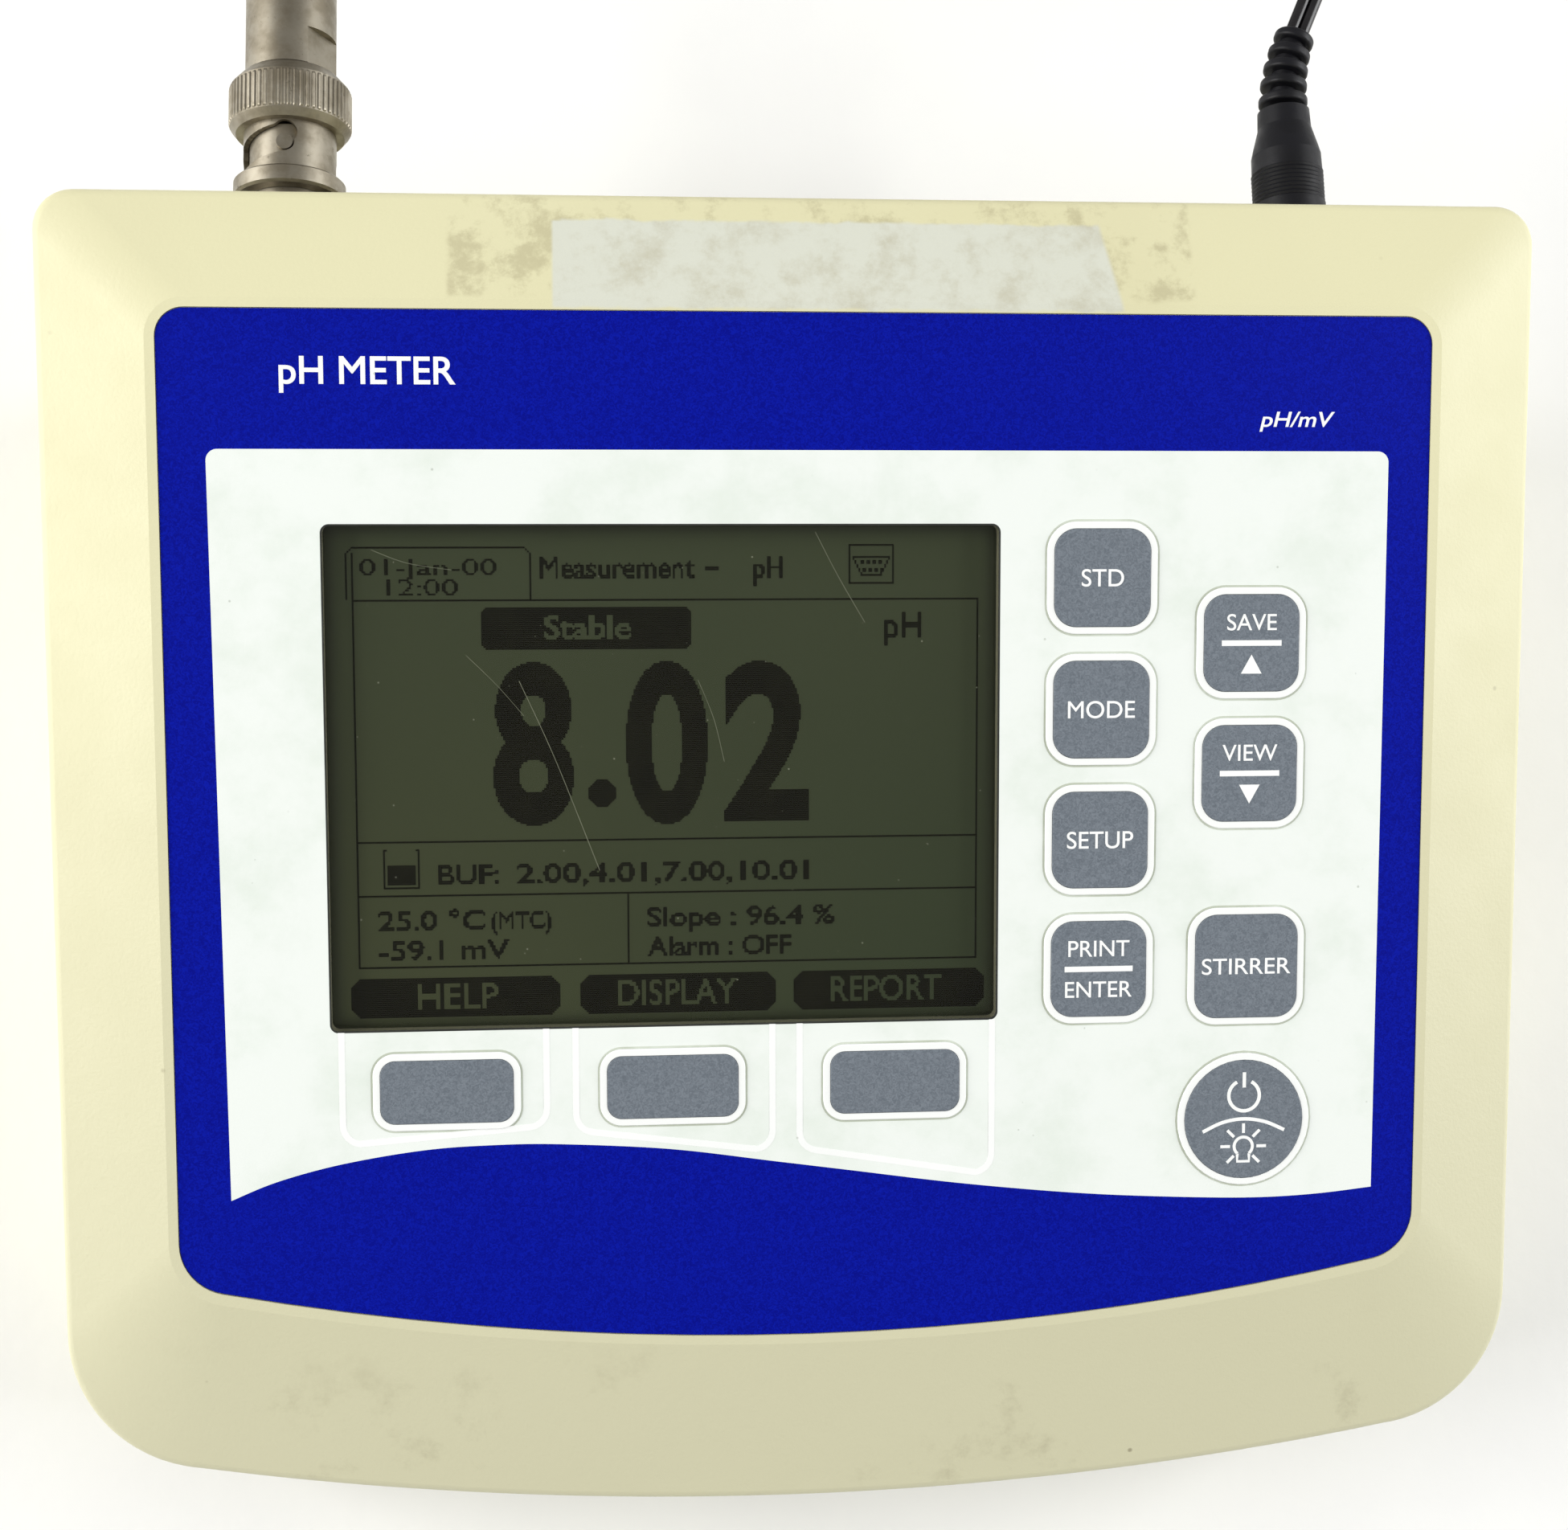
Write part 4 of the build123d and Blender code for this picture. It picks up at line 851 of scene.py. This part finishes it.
def draw_reading(screen):
    """The state in its bar, the unit and the large number with its point."""
    screen.box(67, 31, 170, 51, cut=2)
    screen.words("Stable", 98, 35, 140, 46, 0.02, False)
    screen.words("pH", 268, 34, 286, 46)
    for body, left, right in (("8", 72, 111), ("0", 138, 178), ("2", 187, 229)):
        screen.words(body, left, READING_TOP, right, READING_LOW, 0.03)
    screen.box(119, 117, 132, 130, cut=4)


def draw_table(screen):
    """The buffers beside a beaker that is open at its top, and the four values below them."""
    screen.words("BUF:", 44, 159, 73, 168)
    screen.words("2.00,4.01,7.00,10.01", 83, 159, 229, 168)
    screen.outline(17, 151, 34, 170)
    screen.box(19, 151, 32, 151, False)
    screen.box(19, 159, 32, 168)
    for body, left, top, right, capital in (
        ("25.0 °C", 14, 182, 66, 9), ("(MTC)", 70, 183, 99, 8), ("-59.1 mV", 14, 197, 78, 9),
        ("Slope : 96.4 %", 148, 182, 242, 9), ("Alarm : OFF", 148, 197, 220, 9),
    ):
        screen.words(body, left, top, right, top + capital)


def draw_buttons(screen):
    """The names of the three soft keys, light on dark."""
    for body, left, right, first, last in (
        ("HELP", 0, 103, 33, 72), ("DISPLAY", 114, 212, 133, 192), ("REPORT", 222, 319, 241, 297),
    ):
        screen.box(left, BUTTON_TOP, right, BUTTON_LOW, cut=4)
        screen.words(body, first, BUTTON_TOP + 3, last, BUTTON_LOW - 4, 0.012, False)


def draw_screen():
    screen = Screen()
    for draw in (draw_frame, draw_header, draw_reading, draw_table, draw_buttons):
        draw(screen)
    return screen.mesh()


# ---------------------------------------------------------------- wear on the window
# Each scratch is its start, middle and end on the face, and its width.
SCRATCHES = (
    ((-33.5, 12.5), (-29.5, 3.5), (-24.5, -9.5), 0.07),
    ((0.6, 29.5), (3.2, 24.5), (6.4, 19.0), 0.05),
    ((-39.5, 15.5), (-36.0, 12.0), (-33.0, 8.5), 0.04),
    ((-13.0, 12.5), (-11.2, 8.0), (-10.0, 3.0), 0.05),
    ((-50.0, 27.5), (-46.0, 26.0), (-41.0, 25.2), 0.05),
)
SPECKS = 90
SPECK_RADII = (0.04, 0.05, 0.05, 0.08, 0.11)
SPECK_REACH = 0.48


def scratched_pane(pale):
    """Fine scratches and specks on the window."""
    shapes = [ribbon(smooth(points), width) for *points, width in SCRATCHES]
    for _ in range(SPECKS):
        u = WINDOW[0] + random.uniform(-SPECK_REACH, SPECK_REACH) * WINDOW[2]
        v = WINDOW[1] + random.uniform(-SPECK_REACH, SPECK_REACH) * WINDOW[3]
        shapes.append(arc(u, v, random.choice(SPECK_RADII), 0, 330, 7))
    flat("window_scratches", shapes, PANE_TOP + 0.002, "case", pale, 0.006)


# ---------------------------------------------------------------- the electrode plug's knurl
# Its section: distance behind the panel, radius, and how much of a tooth's depth is added.
KNURL_PROFILE = (
    (14.85, 6.9, 0), (14.85, 7.1, 0), (15.15, 7.14, 0.9), (15.3, 7.14, 1), (19.4, 7.14, 1),
    (19.6, 7.12, 0.8), (19.85, 7.02, 0), (19.85, 6.8, 0),
)
KNURL_TEETH, KNURL_DEPTH = 62, 0.22
TOOTH_STEPS, TOOTH_FULLNESS = 6, 1.6


def toothed_ring(name, x, z):
    """A closed ring with the knurl's section, turned about an axis along Y."""
    made = bmesh.new()
    count = KNURL_TEETH * TOOTH_STEPS
    rings = []
    for distance, radius, share in KNURL_PROFILE:
        ring = []
        for index in range(count):
            angle = 2 * math.pi * index / count
            wave = 0.5 + 0.5 * math.cos(KNURL_TEETH * angle)
            r = radius + share * KNURL_DEPTH * min(1.0, TOOTH_FULLNESS * wave)
            place = (x + r * math.sin(angle), CASE_REAR_Y + distance, z + r * math.cos(angle))
            ring.append(made.verts.new([c * MM for c in place]))
        rings.append(ring)
    for one, two in zip(rings, rings[1:] + rings[:1]):
        for index in range(count):
            after = (index + 1) % count
            made.faces.new((one[index], one[after], two[after], two[index]))
    bmesh.ops.recalc_face_normals(made, faces=made.faces)
    mesh = bpy.data.meshes.new(name)
    made.to_mesh(mesh)
    made.free()
    return mesh


def knurl(nickel):
    mesh = toothed_ring("bnc_nut_knurl", BNC[0], BNC[2])
    shown("bnc_nut_knurl", mesh, nickel, "bnc_nut")


# ---------------------------------------------------------------- the power lead
RELIEF_BEND = math.radians(24)
RELIEF_LENGTH = 10.9
DC_NECK_END = 19.3
bend_radius = RELIEF_LENGTH / RELIEF_BEND
relief_end = Vector((
    DC[0] + bend_radius * (1 - math.cos(RELIEF_BEND)),
    DC[1] + DC_NECK_END + bend_radius * math.sin(RELIEF_BEND),
    DC[2],
))
relief_way = Vector((math.sin(RELIEF_BEND), math.cos(RELIEF_BEND), 0))

# Two cores side by side; where they meet, each leaves JOIN degrees of its circle open on either side.
CORD_WIDTH = 3.0
CORE_RADIUS = 0.8
JOIN = 28
CORD_SUNK, CORD_STRAIGHT = 1.5, 16
COIL = Vector((66.0, 158.0, 0.0))
ENTRY = Vector((54.0, 178.0, 6.0))
CORD_ROUTE = [
    relief_end - relief_way * CORD_SUNK,
    relief_end,
    relief_end + relief_way * CORD_STRAIGHT,
    Vector((76.5, 115, 48)),
    Vector((81, 126, 37.5)),
    Vector((84.5, 137, 23)),
    Vector((87, 147.5, 9.5)),
    Vector((86.5, 159, 4)),
]
# Radius and height of each turn, then the angle, radius and height of the points that leave the coil.
COIL_TURNS = (
    (21.4, 1.6), (18.4, 1.6), (15.4, 1.6), (12.5, 1.7), (13.3, 4.5), (16.3, 4.5), (19.3, 4.5), (18.0, 7.3),
    (15.0, 7.3), (12.6, 7.3), (13.6, 10.1), (16.6, 10.1), (19.4, 10.0),
)
COIL_LEAVING = ((40, 19.6, 9.6), (58, 19.9, 8.6), (76, 20.0, 7.2))
COIL_START = 25
POINTS_PER_TURN = 24
EASE_FROM = 0.6


def on_coil(degrees, radius, height):
    angle = math.radians(degrees)
    return COIL + Vector((radius * math.cos(angle), radius * math.sin(angle), height))


def coil_points():
    """The turns, one after another, each easing over to the next one's radius and height near its end."""
    points = []
    for index, (radius, height) in enumerate(COIL_TURNS):
        after = COIL_TURNS[min(index + 1, len(COIL_TURNS) - 1)]
        for step in range(POINTS_PER_TURN):
            share = step / POINTS_PER_TURN
            ease = max(0.0, (share - EASE_FROM) / (1 - EASE_FROM))
            ease = ease * ease * (3 - 2 * ease)
            r = radius + (after[0] - radius) * ease
            z = height + (after[1] - height) * ease
            points.append(on_coil(COIL_START + 360 * share, r, z))
    points += [on_coil(*place) for place in COIL_LEAVING]
    return points + [Vector((61, 178, 6.3)), ENTRY, ENTRY - Vector((3, 0, 0))]


def make_cord(jacket):
    """The whole cord, from the relief by way of the coil to the adapter: one line, two cores in section."""
    section = bpy.data.curves.new("cord_section", "CURVE")
    section.dimensions = "2D"
    spline = section.splines.new("POLY")
    offset = CORD_WIDTH / 2 - CORE_RADIUS
    outline = arc(offset, 0, CORE_RADIUS, JOIN - 180, 180 - JOIN, 14)
    outline += arc(-offset, 0, CORE_RADIUS, JOIN, 360 - JOIN, 14)
    spline.points.add(len(outline) - 1)
    for point, (x, y) in zip(spline.points, outline):
        point.co = (x * MM, y * MM, 0, 1)
    spline.use_cyclic_u = True
    holder = bpy.data.objects.new("cord_section", section)
    curve = bpy.data.curves.new("power_cord_run", "CURVE")
    curve.dimensions = "3D"
    curve.bevel_mode = "OBJECT"
    curve.bevel_object = holder
    curve.use_fill_caps = True
    curve.resolution_u = 6
    curve.twist_mode = "Z_UP"
    line = curve.splines.new("NURBS")
    points = CORD_ROUTE + coil_points()
    line.points.add(len(points) - 1)
    for point, place in zip(line.points, points):
        point.co = (*(place * MM), 1)
    line.order_u = 3
    line.use_endpoint_u = True
    cord = bpy.data.objects.new("power_cord_run", curve)
    bpy.context.scene.collection.objects.link(cord)
    curve.materials.append(jacket)
    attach(cord, "power_lead")
    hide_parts("power_cord", "power_cord_coil")


# ---------------------------------------------------------------- the scene
make_camera()
make_light()
materials = make_materials()
paint_nodes(materials)
white_ink = ink_material("white_ink", srgb(240, 245, 240), srgb(228, 236, 227))
bright_ink = ink_material("bright_ink", srgb(250, 251, 250), srgb(246, 248, 246))
# Painted shade for the dip of the film round each key's embossed border.
emboss_shade = ink_material("emboss_shade", srgb(214, 221, 208), srgb(188, 195, 178), 0.5, (0.3, 0.6))
# Painted shadow for the gap round the window.
gap_shadow = plain("gap_shadow", srgb(46, 48, 42), srgb(34, 36, 32), 0.5)
dot_ink = plain("screen_dots", srgb(20, 20, 9), srgb(26, 26, 13), 0.5, specular=0.03)
scratch = plain("scratch", srgb(124, 128, 106), srgb(104, 108, 88), 0.4)

make_cord(materials["cord_jacket"])
print_panel(white_ink)
print_soft_frames(bright_ink)
print_key_edges(emboss_shade)
print_window_line(gap_shadow)
print_legends(bright_ink)
shown("screen_dots", draw_screen(), dot_ink, "case", FACE)
scratched_pane(scratch)
knurl(materials["nickel"])

FLOOR_SIZE = 4
bpy.ops.mesh.primitive_plane_add(size=FLOOR_SIZE)
floor = bpy.context.object
floor.name = "floor"
floor.data.materials.append(floor_material())
